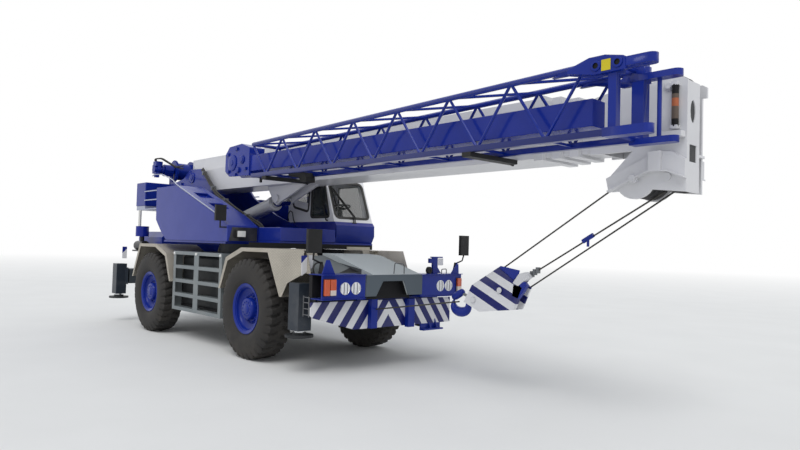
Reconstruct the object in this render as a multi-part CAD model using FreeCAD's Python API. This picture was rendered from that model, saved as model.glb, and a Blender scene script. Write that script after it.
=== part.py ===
import FreeCAD
import Part
import math
import os

V = FreeCAD.Vector

# Mobile crane on two steered axles, boom stowed forwards. Lengths in millimetres, angles in degrees.
# Frame: +X forwards, +Y to the vehicle's left, +Z up, origin on the slewing axis at ground level.

FIT = 0.05                  # radial clearance of a pin or spindle in its bore
SEAT = 0.3                  # gap between a wear pad and what slides on it
SIDE_GAP = 5.0              # side gap between pieces that move past each other

# Wheels and axles
WHEELBASE = 3650.0
FRONT_AXLE_X = 1950.0
REAR_AXLE_X = FRONT_AXLE_X - WHEELBASE
TYRE_R = 745.0
TYRE_W = 430.0
WHEEL_Y = 1085.0
RIM_SEAT_R = 335.0
RIM_FLANGE_R = 375.0
RIM_HALF_W = 182.0
RIM_FLANGE_T = 12.0
RIM_BARREL_T = 17.0
WHEEL_SIDES = 20
HUB_R = 165.0
HUB_INNER = 120.0
HUB_BORE_DEPTH = 100.0
SPINDLE_R = 60.0
KINGPIN_Y = 800.0
KINGPIN_R = 35.0
KNUCKLE_R = 70.0
KNUCKLE_HALF_H = 150.0
YOKE_ARM_T = 54.0
YOKE_HALF_W = 75.0
AXLE_TUBE_R = 110.0
AXLE_TUBE_HALF = 640.0
DIFF_R = 205.0
SUSPENSION_Y = 370.0
SUSPENSION_R = 50.0

# Carrier frame and deck
FRAME_HALF_W = 450.0
FRAME_BOTTOM = 980.0
FRAME_TOP = 1480.0
FRAME_REAR_X = -3700.0
FRAME_FRONT_X = 3640.0
CARRIER_HALF_W = 1250.0
DECK_TOP = 1650.0
PLATE_T = 10.0
SLEW_RING_R = 640.0
SLEW_RING_SIDES = 40
TURNTABLE_BOTTOM = 1700.0

# Engine bay at the rear
BAY_X = (-3320.0, -2380.0)
BAY_BOTTOM = 1115.0
BAY_HALF_W = 380.0
ENGINE_X = (-3260.0, -2440.0)
ENGINE_HALF_W = 320.0
ENGINE_Z = (BAY_BOTTOM, 1700.0)
HOOD_X = (-3660.0, -2420.0)
HOOD_HALF_W = 760.0
HOOD_TOP = 1900.0
HOOD_CHAMFER = 120.0

# Fenders, side steps and tanks
FENDER_INNER_Y = 600.0
FENDER_LIP = 55.0
FENDER_LIP_T = 8.0
STEPS_X = (-790.0, 1040.0)
STEPS_Z = (500.0, 1540.0)
STEPS_FACE_Y = 1200.0
STEPS_T = 12.0
STEPS_COLUMNS = 2
STEPS_ROWS = 4
STEPS_POST_W = 90.0
STEPS_MID_POST_W = 170.0
STEPS_RAIL_H = 60.0
TREAD_DEPTH = 150.0
TANK_Y = (480.0, 1030.0)
TANK_Z = (560.0, 1470.0)

# Front end
NOSE_X = 3910.0
NOSE_Z = (1050.0, 1336.0)
LAMP_BOX_X = NOSE_X - 310.0
LAMP_BOX_Y = (580.0, 1308.0)
LAMP_Y = (798.0, 976.0)
LAMP_Z = 1166.0
LAMP_R = 82.0
BUMPER_X = 3700.0
BUMPER_T = 14.0
BUMPER_HALF_W = 1300.0
BUMPER_TOP = 965.0

# Outriggers
OUTRIGGER_FRONT_X = 3290.0
OUTRIGGER_REAR_X = -3465.0
BOX_HALF_X = 220.0
BOX_Z = (800.0, 1100.0)
BOX_WALL = 15.0
BOX_HALF_Y = 1080.0
BEAM_W = 160.0
BEAM_OFFSET = 95.0
BEAM_Z = (840.0, 1060.0)
BEAM_START = 20.0
BEAM_END_GAP = 20.0
JACK_Y = 1205.0
JACK_HALF = 105.0
JACK_Z = (580.0, 1210.0)
JACK_ROD_R = 70.0
JACK_ROD_TOP = 1190.0
FLOAT_R = 190.0
FLOAT_Z = (490.0, 525.0)

# Turntable
PLATE_Y = (385.0, 425.0)
BASE_PLATE_TOP = 1760.0
BASE_HALF_W = 640.0
BASE_X = (-1400.0, 1180.0)
COVER_Y = (650.0, 1200.0)
DECK_BOX_FRONT_X = 1870.0
DECK_BOX_TOP = 1980.0
CW_X = (-3230.0, -2900.0)
CW_HALF_W = 1130.0
CW_Z = (2410.0, 2900.0)
TAIL_RAIL_Z = (2480.0, 2620.0)
TAIL_RAIL_Y = 1080.0
TAIL_RAIL_R = 14.0
WINCH_X = -2850.0
WINCH_Z = 3200.0
WINCH_FLANGE_R = 238.0
WINCH_DRUM_R = 150.0
WINCH_FLANGE_T = 16.0
WINCH_HALF_Y = 380.0
WINCH_PLATE_T = 30.0
WINCH_MOTOR_Y = 820.0

# Boom foot pin and elevating cylinder
FOOT_X = -1850.0
FOOT_Z = 3000.0
FOOT_PIN_R = 60.0
FOOT_BOSS_R = 110.0
CYL_BASE_X = -1300.0
CYL_BASE_Z = 1980.0
CYL_EYE_X = 900.0
CYL_EYE_Z = 2500.0
CYL_PIN_R = 50.0
CYL_BARREL_R = 125.0
CYL_ROD_R = 90.0
CYL_EYE_R = 115.0
CYL_EYE_HALF_W = 90.0
CYL_BARREL_END = 1990.0     # from the base pin along the barrel to its gland
CYL_NECK = 190.0            # from the base pin to where the barrel's full width starts

# Boom sections: each is a rectangular tube inside the one before it
BOOM_BASE_HALF_W = 330.0
BOOM_Z = (2630.0, 3370.0)
BOOM_WALL = 8.0
SECTION_STEP = 30.0         # how much lower each section is inside the one before it, above and below
SECTION_STEP_Y = 45.0       # the same for its width, on each side
BOOM_REAR_X = -2030.0
SECTION_REAR_X = -1680.0
SECTION_REAR_STEP = 60.0
BASE_FRONT_X = 6500.0
SECTION_FRONT_STEP = 190.0
COLLAR_L = 110.0
COLLAR_T = 22.0

# Boom head
HEAD_PLATE_Y = (200.0, 230.0)
HEAD_FRONT_X = 7980.0
HEAD_FRONT_T = 14.0
HEAD_BOTTOM = 2305.0
HEAD_FLANGE_W = 70.0
HEAD_GUARD_T = 40.0
HEAD_SHEAVE_X = 7480.0
HEAD_SHEAVE_Z = 2450.0
HEAD_SHEAVE_R = 185.0
HEAD_SHEAVE_YS = (-135.0, -45.0, 45.0, 135.0)
HEAD_FRONT_SHEAVE_X = HEAD_FRONT_X - 180.0
HEAD_TOP_SHEAVE_X = HEAD_FRONT_X - 170.0
HEAD_TOP_SHEAVE_Z = 3300.0
HEAD_PIN_R = 40.0
SHEAVE_T = 40.0
SHEAVE_GROOVE = 22.0
SHEAVE_SIDES = 16

# Fly jib, stowed on the right side of the boom
JIB_X = (1700.0, 7750.0)
JIB_OUTER_Y = -1085.0
JIB_INNER_Y = -620.0
JIB_LOW_Z = 2756.0
JIB_TOP_Z = (3240.0, 3375.0)
JIB_CHORD_R = 30.0
JIB_LACE_R = 17.0
JIB_PLATE_T = 44.0
JIB_FORK_HALF_W = 60.0
JIB_SIDES = (
    # y of the side, its root post's width and rise over the top chord, its forks' thickness and drop
    (JIB_OUTER_Y, 74, 0, 78, 0),
    (JIB_INNER_Y, 112, 80, 57, -25),
)
JIB_BAYS = 7
JIB_BOX_X = (860.0, 7450.0)
JIB_BOX_Y = (-960.0, -745.0)
JIB_BOX_Z = (2860.0, 3110.0)

# Cab
CAB_Y = (430.0, 1270.0)
CAB_WALL = 32.0
CAB_REAR_X = 400.0
CAB_FLOOR_Z = 1760.0
CAB_ROOF_Z = 3040.0
CAB_FRONT_X = 1870.0
CAB_NOSE_Z = 2060.0
SCREEN_LOW = (1800.0, 2140.0)
SCREEN_TOP = (1510.0, 2870.0)
ROOF_FRONT_X = 1380.0
DOOR_REAR_X = 720.0
DOOR_Z = (1830.0, 2930.0)
DOOR_GAP = 6.0
HINGE_OUT = 14.0
HINGE_R = 13.0
HINGE_PIN_R = 6.0
HINGE_Z = (2020.0, 2720.0)
GLASS_T = 6.0

# Hook block in the boom's plane, tied back towards the carrier
HOOK_CHEEK_HALF = 150.0
HOOK_SHEAVE = (5750.0, 1275.0)
HOOK_SHEAVE_R = 175.0
ROPE_R = 9.0
HOOK_CENTRE = (5010.0, 1010.0)
HOOK_INNER_R = 80.0
HOOK_OUTER_R = 158.0
HOOK_HALF_T = 36.0

WHEELS = (
    # name, axle x, side of the vehicle
    ("front_left", FRONT_AXLE_X, 1),
    ("front_right", FRONT_AXLE_X, -1),
    ("rear_left", REAR_AXLE_X, 1),
    ("rear_right", REAR_AXLE_X, -1),
)

OUTRIGGERS = (
    # name, box x, side of the vehicle, beam's place in the box
    ("front_left", OUTRIGGER_FRONT_X, 1, 1),
    ("front_right", OUTRIGGER_FRONT_X, -1, -1),
    ("rear_left", OUTRIGGER_REAR_X, 1, 1),
    ("rear_right", OUTRIGGER_REAR_X, -1, -1),
)


def box(x0, x1, y0, y1, z0, z1):
    """Block between two corners, given as ranges along X, Y and Z."""
    return Part.makeBox(x1 - x0, y1 - y0, z1 - z0, V(x0, y0, z0))


def prism_y(points, y0, y1):
    """Outline of (x, z) points, extruded from y0 to y1."""
    wire = Part.makePolygon([V(x, y0, z) for x, z in points] + [V(points[0][0], y0, points[0][1])])
    return Part.Face(wire).extrude(V(0, y1 - y0, 0))


def prism_x(points, x0, x1):
    """Outline of (y, z) points, extruded from x0 to x1."""
    wire = Part.makePolygon([V(x0, y, z) for y, z in points] + [V(x0, points[0][0], points[0][1])])
    return Part.Face(wire).extrude(V(x1 - x0, 0, 0))


def prism_z(points, z0, z1):
    """Outline of (x, y) points, extruded from z0 to z1."""
    wire = Part.makePolygon([V(x, y, z0) for x, y in points] + [V(points[0][0], points[0][1], z0)])
    return Part.Face(wire).extrude(V(0, 0, z1 - z0))


def rod(start, end, radius):
    """Round bar from one point to another."""
    a = V(*start)
    along = V(*end) - a
    return Part.makeCylinder(radius, along.Length, a, along)


def cross_rod(x, z, radius, y0, y1):
    """Round bar along Y."""
    return rod((x, y0, z), (x, y1, z), radius)


def bar(start, end, radius, sides):
    """Many-sided bar from one point to another, where the shape needn't be truly round."""
    a = V(*start)
    along = V(*end) - a
    across = along.cross(V(0, 0, 1))
    if across.Length < 1e-6:
        across = V(0, 1, 0)
    across.normalize()
    up = across.cross(along)
    up.normalize()
    turns = [2 * math.pi * (i + 0.5) / sides for i in range(sides)]
    corners = [a + across * (radius * math.cos(t)) + up * (radius * math.sin(t)) for t in turns]
    return Part.Face(Part.makePolygon(corners + [corners[0]])).extrude(along)


def square_bar(start, end, side):
    """Square bar from one point to another, with two of its faces upright."""
    a = V(*start)
    along = V(*end) - a
    across = along.cross(V(0, 0, 1))
    if across.Length < 1e-6:
        across = V(0, 1, 0)
    across.normalize()
    up = across.cross(along)
    up.normalize()
    corners = [a + across * (side / 2 * i) + up * (side / 2 * j) for i, j in ((-1, -1), (1, -1), (1, 1), (-1, 1))]
    return Part.Face(Part.makePolygon(corners + [corners[0]])).extrude(along)


def turned(points, x, y, z, sides, phase=0.0):
    """Closed (y, radius) outline, carried round the line along Y through (x, y, z) in flat facets."""
    angles = [phase + 2 * math.pi * i / sides for i in range(sides)]
    faces = []
    for i, angle in enumerate(angles):
        following = angles[(i + 1) % sides]
        for j, (along, radius) in enumerate(points):
            next_along, next_radius = points[(j + 1) % len(points)]
            if radius == 0 and next_radius == 0:
                continue
            quad = []
            for place, reach, turn in ((along, radius, angle), (next_along, next_radius, angle),
                                       (next_along, next_radius, following), (along, radius, following)):
                corner = V(x + reach * math.sin(turn), y + place, z + reach * math.cos(turn))
                if all((corner - other).Length > 1e-6 for other in quad):
                    quad.append(corner)
            faces.append(Part.Face(Part.makePolygon(quad + [quad[0]])))
    solid = Part.makeSolid(Part.makeShell(faces))
    if solid.Volume < 0:
        solid.reverse()
    return solid


def cross_bar(x, z, radius, y0, y1, sides):
    """Many-sided bar along Y."""
    return turned([(y0, 0), (y0, radius), (y1, radius), (y1, 0)], x, 0, z, sides)


def fuse(shapes):
    """One solid from solids that touch or overlap."""
    whole = shapes[0]
    if len(shapes) > 1:
        whole = whole.multiFuse(shapes[1:])
    return whole.removeSplitter()


def mirrored(shape):
    """The same shape on the other side of the vehicle."""
    return shape.mirror(V(0, 0, 0), V(0, 1, 0))


def on_side(shape, side):
    """Shape made for the left side, put on the side asked for."""
    return shape if side > 0 else mirrored(shape)


def both_sides(shape):
    """The shape and its mirror image."""
    return [shape, mirrored(shape)]


def save(name, shapes):
    """Write one piece, or several that don't touch, as one file."""
    solids = [solid for shape in shapes for solid in shape.Solids]
    for solid in solids:
        if not solid.isValid():
            print("not valid:", name)
    Part.makeCompound(solids).exportStep("parts/" + name + ".step")
    print(name, len(solids), "solids")


def tyre():
    """Tyre with a bulged side wall and a square shoulder, about the origin."""
    seat = RIM_HALF_W - RIM_FLANGE_T - SEAT
    half = TYRE_W / 2
    side = [(half - 50, TYRE_R), (half - 8, TYRE_R - 55), (half, TYRE_R - 185), (seat, RIM_FLANGE_R + 6), (seat, RIM_SEAT_R)]
    outline = side + [(-y, r) for y, r in reversed(side)]
    return turned(outline, 0, 0, 0, 2 * WHEEL_SIDES)


def rim():
    """Dished wheel with its planetary hub, bored for the spindle."""
    barrel_in = RIM_SEAT_R - SEAT - RIM_BARREL_T
    barrel_out = RIM_SEAT_R - SEAT
    lip = RIM_HALF_W - RIM_FLANGE_T
    outline = [
        (-HUB_INNER, 0), (-HUB_INNER, HUB_R), (25, HUB_R), (25, barrel_in),
        (-RIM_HALF_W, barrel_in), (-RIM_HALF_W, RIM_FLANGE_R), (-lip, RIM_FLANGE_R), (-lip, barrel_out),
        (lip, barrel_out), (lip, RIM_FLANGE_R), (RIM_HALF_W, RIM_FLANGE_R), (RIM_HALF_W, barrel_in),
        (70, barrel_in - 12), (70, HUB_R), (165, HUB_R - 25), (165, 0),
    ]
    bore = cross_rod(0, 0, SPINDLE_R + FIT, -HUB_INNER - 1, HUB_BORE_DEPTH)
    return turned(outline, 0, 0, 0, WHEEL_SIDES).cut(bore)


def knuckle():
    """Steering knuckle: kingpin boss, brake drum and spindle, built about the kingpin at the origin."""
    reach = WHEEL_Y - KINGPIN_Y
    boss = bar((0, 0, -KNUCKLE_HALF_H), (0, 0, KNUCKLE_HALF_H), KNUCKLE_R, 8)
    drum = cross_bar(0, 0, 140, reach - HUB_INNER - 60, reach - HUB_INNER - 5, 12)
    neck = box(-60, 60, 0, reach - HUB_INNER - 30, -80, 80)
    spindle = cross_rod(0, 0, SPINDLE_R, 0, reach + HUB_BORE_DEPTH - 1)
    body = fuse([boss, neck, drum, spindle])
    for side in (1, -1):
        bore = rod((0, 0, side * (KNUCKLE_HALF_H - 62)), (0, 0, side * (KNUCKLE_HALF_H + 1)), KINGPIN_R + FIT)
        body = body.cut(bore)
    return body


def axle(x):
    """Drive axle with its bowl, the yokes that carry the knuckles and the suspension cylinders."""
    z = TYRE_R
    pieces = [cross_bar(x, z, AXLE_TUBE_R, -AXLE_TUBE_HALF, AXLE_TUBE_HALF, 12)]
    pieces.append(bar((x - 150, 0, z), (x + 150, 0, z), DIFF_R, 16))
    pieces.append(bar((x + 150, 0, z), (x + 230, 0, z), 90, 12))
    for side in (1, -1):
        inner = side * (AXLE_TUBE_HALF - 20)
        outer = side * (AXLE_TUBE_HALF + 50)
        height = KNUCKLE_HALF_H + YOKE_ARM_T
        pieces.append(box(x - YOKE_HALF_W, x + YOKE_HALF_W, min(inner, outer), max(inner, outer), z - height, z + height))
        for up in (1, -1):
            z0 = z + up * (KNUCKLE_HALF_H + 2)
            z1 = z + up * height
            arm = box(x - YOKE_HALF_W, x + YOKE_HALF_W, min(outer, side * KINGPIN_Y), max(outer, side * KINGPIN_Y),
                      min(z0, z1), max(z0, z1))
            pieces.append(arm)
            pieces.append(bar((x, side * KINGPIN_Y, z0), (x, side * KINGPIN_Y, z1), YOKE_HALF_W, 8))
            pieces.append(rod((x, side * KINGPIN_Y, z1), (x, side * KINGPIN_Y, z + up * (KNUCKLE_HALF_H - 60)), KINGPIN_R))
        pieces.append(bar((x, side * SUSPENSION_Y, z), (x, side * SUSPENSION_Y, FRAME_BOTTOM), SUSPENSION_R, 10))
    return fuse(pieces)


def carrier_frame():
    """Box frame with an open engine bay, notched over each axle bowl."""
    rear = FRAME_REAR_X
    front = FRAME_FRONT_X
    outline = [(rear, FRAME_BOTTOM + 120), (OUTRIGGER_REAR_X + BOX_HALF_X + 60, FRAME_BOTTOM + 120),
               (OUTRIGGER_REAR_X + BOX_HALF_X + 160, FRAME_BOTTOM),
               (OUTRIGGER_FRONT_X - BOX_HALF_X - 160, FRAME_BOTTOM), (OUTRIGGER_FRONT_X - BOX_HALF_X - 60, FRAME_BOTTOM + 120),
               (front, FRAME_BOTTOM + 120), (front, FRAME_TOP - 80), (OUTRIGGER_FRONT_X - BOX_HALF_X, FRAME_TOP),
               (rear, FRAME_TOP)]
    frame = prism_y(outline, -FRAME_HALF_W, FRAME_HALF_W)
    bay = box(BAY_X[0], BAY_X[1], -BAY_HALF_W, BAY_HALF_W, BAY_BOTTOM, FRAME_TOP + 1)
    return frame.cut(bay)


def outrigger_boxes():
    """Cross boxes for the beams, with a wear pad at each mouth."""
    boxes = []
    for centre in (OUTRIGGER_FRONT_X, OUTRIGGER_REAR_X):
        outer = box(centre - BOX_HALF_X, centre + BOX_HALF_X, -BOX_HALF_Y, BOX_HALF_Y, BOX_Z[0], BOX_Z[1])
        inner = box(centre - BOX_HALF_X + BOX_WALL, centre + BOX_HALF_X - BOX_WALL, -BOX_HALF_Y - 1, BOX_HALF_Y + 1,
                    BOX_Z[0] + BOX_WALL, BOX_Z[1] - BOX_WALL)
        shell = outer.cut(inner)
        pads = []
        for side in (1, -1):
            y0 = side * BOX_HALF_Y
            y1 = side * (BOX_HALF_Y - 120)
            x0 = centre - BOX_HALF_X + BOX_WALL
            x1 = centre + BOX_HALF_X - BOX_WALL
            pads.append(box(x0, x1, min(y0, y1), max(y0, y1), BOX_Z[0] + BOX_WALL, BEAM_Z[0] - SEAT))
            pads.append(box(x0, x1, min(y0, y1), max(y0, y1), BEAM_Z[1] + SEAT, BOX_Z[1] - BOX_WALL))
        boxes.append(fuse([shell] + pads))
    return boxes


def outrigger_beam(centre, place):
    """Left-hand sliding beam with its jack housing; place says which half of the box it runs in."""
    x = centre + place * BEAM_OFFSET
    jack_in = JACK_Y - JACK_HALF
    beam = box(x - BEAM_W / 2, x + BEAM_W / 2, -(BOX_HALF_Y - BEAM_START), jack_in + 20, BEAM_Z[0], BEAM_Z[1])
    plate = box(centre - BOX_HALF_X, centre + BOX_HALF_X, jack_in, jack_in + 20, BOX_Z[0] - 20, BOX_Z[1] + 30)
    housing = box(centre - JACK_HALF - 15, centre + JACK_HALF + 15, jack_in, JACK_Y + JACK_HALF, JACK_Z[0], JACK_Z[1])
    bore = rod((centre, JACK_Y, JACK_Z[0] - 1), (centre, JACK_Y, JACK_ROD_TOP + 5), JACK_ROD_R + FIT)
    return fuse([beam, plate, housing]).cut(bore)


def jack(centre):
    """Left-hand jack rod with its float."""
    stem = rod((centre, JACK_Y, FLOAT_Z[1]), (centre, JACK_Y, JACK_ROD_TOP), JACK_ROD_R)
    pad = bar((centre, JACK_Y, FLOAT_Z[0]), (centre, JACK_Y, FLOAT_Z[1]), FLOAT_R, 24)
    collar = bar((centre, JACK_Y, FLOAT_Z[1]), (centre, JACK_Y, FLOAT_Z[1] + 30), JACK_ROD_R + 25, 12)
    return fuse([stem, pad, collar])


def fender_outline(towards_end):
    """Arch of one fender, from its low point near the vehicle's middle to the one near its end."""
    low = 990
    points = [(-905, low), (-690, 1490), (-220, DECK_TOP), (600, DECK_TOP), (940, low)]
    return [(towards_end * x, z) for x, z in points]


def fender(axle_x, towards_end):
    """Left-hand folded fender with its lip and, over the deck, its inner wall."""
    outer = fender_outline(towards_end)

    def shrunk(depth):
        moved = []
        for x, z in outer:
            along = abs(x) > 800
            inward = depth if x < 0 else -depth
            moved.append((x + inward, z - (0 if along else depth)))
        return moved

    def band(depth, y0, y1):
        ring = [(axle_x + x, z) for x, z in outer] + [(axle_x + x, z) for x, z in reversed(shrunk(depth))]
        return prism_y(ring, y0, y1)

    sheet = band(PLATE_T, FRAME_HALF_W, CARRIER_HALF_W)
    lip = band(FENDER_LIP, CARRIER_HALF_W - FENDER_LIP_T, CARRIER_HALF_W)
    return fuse([sheet, lip])


def front_side_plate():
    """Left-hand flat plate that closes the fender's front, with its inner wall over the deck."""
    x = FRONT_AXLE_X
    outline = [(x + 600, DECK_TOP), (x + 1460, DECK_TOP), (x + 1420, 1320), (x + 1080, 1190), (x + 940, 990)]
    outer = prism_y(outline, CARRIER_HALF_W - FENDER_LIP_T, CARRIER_HALF_W)
    top = box(x + 600, x + 1460, FENDER_INNER_Y, CARRIER_HALF_W, DECK_TOP - PLATE_T, DECK_TOP)
    inner = prism_y([(x + 600, DECK_TOP), (x + 1460, DECK_TOP), (x + 1560, 1340), (x + 600, 1340)],
                    FENDER_INNER_Y, FENDER_INNER_Y + FENDER_LIP_T)
    return fuse([outer, top, inner])


def fenders():
    """Two fenders a side, the front ones with their side plates."""
    front = fuse([fender(FRONT_AXLE_X, 1), front_side_plate()])
    rear = fender(REAR_AXLE_X, -1)
    return both_sides(front) + both_sides(rear)


def side_steps():
    """Left-hand climbing grid between the wheels: panel, openings, treads and top plate."""
    x0, x1 = STEPS_X
    z0, z1 = STEPS_Z
    panel = box(x0, x1, STEPS_FACE_Y - STEPS_T, STEPS_FACE_Y, z0, z1)
    open_w = (x1 - x0 - 2 * STEPS_POST_W - STEPS_MID_POST_W) / STEPS_COLUMNS
    open_h = (z1 - z0 - STEPS_RAIL_H * (STEPS_ROWS + 1)) / STEPS_ROWS
    treads = []
    for column in range(STEPS_COLUMNS):
        left = x0 + STEPS_POST_W + column * (open_w + STEPS_MID_POST_W)
        for row in range(STEPS_ROWS):
            low = z0 + STEPS_RAIL_H + row * (open_h + STEPS_RAIL_H)
            hole = box(left, left + open_w, STEPS_FACE_Y - STEPS_T - 1, STEPS_FACE_Y + 1, low, low + open_h)
            panel = panel.cut(hole)
            treads.append(box(left - 20, left + open_w + 20, STEPS_FACE_Y - TREAD_DEPTH, STEPS_FACE_Y,
                              low - STEPS_T, low))
    top = box(x0, x1, FRAME_HALF_W, STEPS_FACE_Y, z1 - STEPS_T, z1)
    top = top.cut(bar((0, 0, z1 - STEPS_T), (0, 0, z1), SLEW_RING_R + SIDE_GAP, SLEW_RING_SIDES))
    ends = [box(x, x + STEPS_T, TANK_Y[1], STEPS_FACE_Y, z0, z1) for x in (x0, x1 - STEPS_T)]
    feet = [box(x, x + 60, FRAME_HALF_W - 70, FRAME_HALF_W + 50, FRAME_TOP, z1 - STEPS_T) for x in (x0, x1 - 60)]
    return fuse([panel, top] + ends + feet + treads)


def side_tank():
    """Left-hand tank behind the climbing grid."""
    tank = box(STEPS_X[0] + 40, STEPS_X[1] - 40, FRAME_HALF_W, TANK_Y[1], TANK_Z[0], TANK_Z[1])
    edges = [e for e in tank.Edges if abs(e.tangentAt(0).x) > 0.9]
    return tank.makeFillet(60, edges)


def engine_hood():
    """Hood over the engine behind the turntable, open below, with a grille in its rear face."""
    x0, x1 = HOOD_X
    w = HOOD_HALF_W
    c = HOOD_CHAMFER
    outline = [(-w, FRAME_TOP), (w, FRAME_TOP), (w, HOOD_TOP - c), (w - c, HOOD_TOP), (c - w, HOOD_TOP), (-w, HOOD_TOP - c)]
    hood = prism_x(outline, x0, x1)
    cavity = box(x0 + 20, x1 - 20, -ENGINE_HALF_W - 60, ENGINE_HALF_W + 60, FRAME_TOP - 1, HOOD_TOP - 60)
    hood = hood.cut(cavity)
    slots = [box(x0 - 1, x0 + 10, -420, 420, z, z + 22) for z in range(1560, 1840, 45)]
    return hood.cut(Part.makeCompound(slots))


def exhaust():
    """Air cleaner and its stack beside the hood, on the right side."""
    x, y = -2900.0, -980.0
    shelf = box(x - 200, x + 200, y - 120, -HOOD_HALF_W, 1480, 1510)
    muffler = bar((x + 180, y, 1600), (x - 200, y, 1600), 100, 16)
    pan = bar((x, y, 1790), (x, y, 2000), 130, 16)
    neck = bar((x, y, 1600), (x, y, 1790), 45, 10)
    stack = bar((x, y - 60, 2000), (x, y - 60, 2330), 30, 10)
    return fuse([shelf, muffler, pan, neck, stack])


def nose():
    """Sloped front deck with its grey front wall and the tow recess."""
    hump = prism_y([(2720, FRAME_TOP - 120), (2720, 1600), (3000, 1585), (NOSE_X, NOSE_Z[1]), (NOSE_X, NOSE_Z[0]),
                    (FRAME_FRONT_X, NOSE_Z[0]), (FRAME_FRONT_X, FRAME_TOP - 120)], -FRAME_HALF_W, FRAME_HALF_W)
    frame = carrier_frame()
    wall = box(NOSE_X - 30, NOSE_X, -LAMP_BOX_Y[0], LAMP_BOX_Y[0], NOSE_Z[0], NOSE_Z[1])
    notch = prism_x([(-400, NOSE_Z[0] - 1), (200, NOSE_Z[0] - 1), (110, 1250), (-280, 1250)], NOSE_X - 140, NOSE_X + 1)
    return fuse([hump.cut(frame), wall]).cut(notch)


def lamp_box():
    """Left-hand lamp housing, with a step for its lamps."""
    y0, y1 = LAMP_BOX_Y
    housing = box(LAMP_BOX_X, NOSE_X, y0, y1, NOSE_Z[0], NOSE_Z[1])
    for y in LAMP_Y:
        housing = housing.cut(bar((NOSE_X - 40, y, LAMP_Z), (NOSE_X + 1, y, LAMP_Z), LAMP_R + 4, 16))
    return housing


def headlamps():
    """Four domed round lamps in their housings."""
    lamps = []
    for side in (1, -1):
        for y in LAMP_Y:
            lamps.append(bar((NOSE_X - 40, side * y, LAMP_Z), (NOSE_X - 6, side * y, LAMP_Z), LAMP_R, 16))
    return lamps


def bumper():
    """Striped cross plate, deeper in the middle, with its brackets to the frame."""
    w = BUMPER_HALF_W
    x = BUMPER_X
    outline = [(-w, BUMPER_TOP), (w, BUMPER_TOP), (w, 790), (620, 600), (-620, 600), (-w, 790)]
    plate = prism_x(outline, x - BUMPER_T, x)
    brackets = [box(FRAME_FRONT_X, x - BUMPER_T + 1, side * 300 - 20, side * 300 + 20, 850, NOSE_Z[0]) for side in (1, -1)]
    struts = [box(x - BUMPER_T - 30, x - BUMPER_T + 1, side * 940 - 20, side * 940 + 20, 850, NOSE_Z[0]) for side in (1, -1)]
    return fuse([plate] + brackets + struts)


def mirror_front(side):
    """Mirror on a bent arm, carried by the bracket on the lamp housing."""
    y = 1300.0 if side > 0 else 1150.0
    out = 130.0
    z = NOSE_Z[1]
    x = NOSE_X - (120 if side > 0 else 245)
    bracket = prism_y([(x - 60, z), (x + 60, z), (x + 20, z + 170), (x - 20, z + 170)], y - 10, y + 6)
    arm = bar((x, y, z + 150), (x, y + out, z + 200), 12, 8)
    post = bar((x, y + out, z + 190), (x, y + out, z + 380), 12, 8)
    head = box(x - 25, x + 25, y + out - 90, y + out + 90, z + 280, z + 590)
    shape = fuse([bracket, arm, post, head])
    return on_side(shape, side)


def slew_ring():
    """Ring between the carrier and the turntable."""
    outer = bar((0, 0, FRAME_TOP), (0, 0, TURNTABLE_BOTTOM - SEAT), SLEW_RING_R, SLEW_RING_SIDES)
    inner = bar((0, 0, FRAME_TOP - 1), (0, 0, TURNTABLE_BOTTOM), SLEW_RING_R - 140, SLEW_RING_SIDES)
    return outer.cut(inner)


def turntable_plate():
    """Left-hand side plate: foot-pin horn, tail beam and sloping front."""
    outline = [(-1400, TURNTABLE_BOTTOM), (1180, TURNTABLE_BOTTOM), (1180, 1880), (1000, 1960), (50, 2250), (-780, 2590),
               (-1150, 2900), (-1450, 3150), (-1960, 3170), (-2250, 3000), (-2900, 2900), (-2900, 2410),
               (-2050, 2300), (-1550, 2000)]
    plate = prism_y(outline, PLATE_Y[0], PLATE_Y[1])
    return plate


def turntable_frame():
    """Base plate, two side plates, cross members, the foot pin and the cylinder's base pin."""
    plates = both_sides(turntable_plate())
    base = box(BASE_X[0], BASE_X[1], -BASE_HALF_W, BASE_HALF_W, TURNTABLE_BOTTOM, BASE_PLATE_TOP)
    tail = box(-2900, -2380, -PLATE_Y[0], PLATE_Y[0], 2500, 2560)
    tail_wall = box(-2900, -2870, -PLATE_Y[0], PLATE_Y[0], 2410, 2900)
    rear_wall = prism_y([(-2200, 2330), (-2160, 2330), (-1440, BASE_PLATE_TOP), (-1480, BASE_PLATE_TOP)], -PLATE_Y[0], PLATE_Y[0])
    foot_pin = cross_rod(FOOT_X, FOOT_Z, FOOT_PIN_R, -PLATE_Y[1] - 30, PLATE_Y[1] + 30)
    foot_bosses = both_sides(cross_bar(FOOT_X, FOOT_Z, FOOT_BOSS_R, PLATE_Y[1], PLATE_Y[1] + 20, 16))
    lug_in = CYL_EYE_HALF_W + SIDE_GAP
    lug_outline = [(CYL_BASE_X - 240, TURNTABLE_BOTTOM + 10), (CYL_BASE_X + 240, TURNTABLE_BOTTOM + 10),
                   (CYL_BASE_X + 110, CYL_BASE_Z + 60), (CYL_BASE_X, CYL_BASE_Z + 110), (CYL_BASE_X - 110, CYL_BASE_Z + 60)]
    lugs = both_sides(prism_y(lug_outline, lug_in, lug_in + 50))
    base_pin = cross_rod(CYL_BASE_X, CYL_BASE_Z, CYL_PIN_R, -lug_in - 70, lug_in + 70)
    wings = both_sides(box(-1300, 1100, PLATE_Y[1], COVER_Y[1] - 20, TURNTABLE_BOTTOM, TURNTABLE_BOTTOM + 30))
    deck_floor = box(BASE_X[1] - 10, DECK_BOX_FRONT_X - 20, -COVER_Y[0], CAB_Y[1] - 20, DECK_TOP + 10, BASE_PLATE_TOP)
    return fuse(plates + [base, tail, tail_wall, rear_wall, foot_pin, base_pin, deck_floor] + foot_bosses + lugs + wings)


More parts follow.
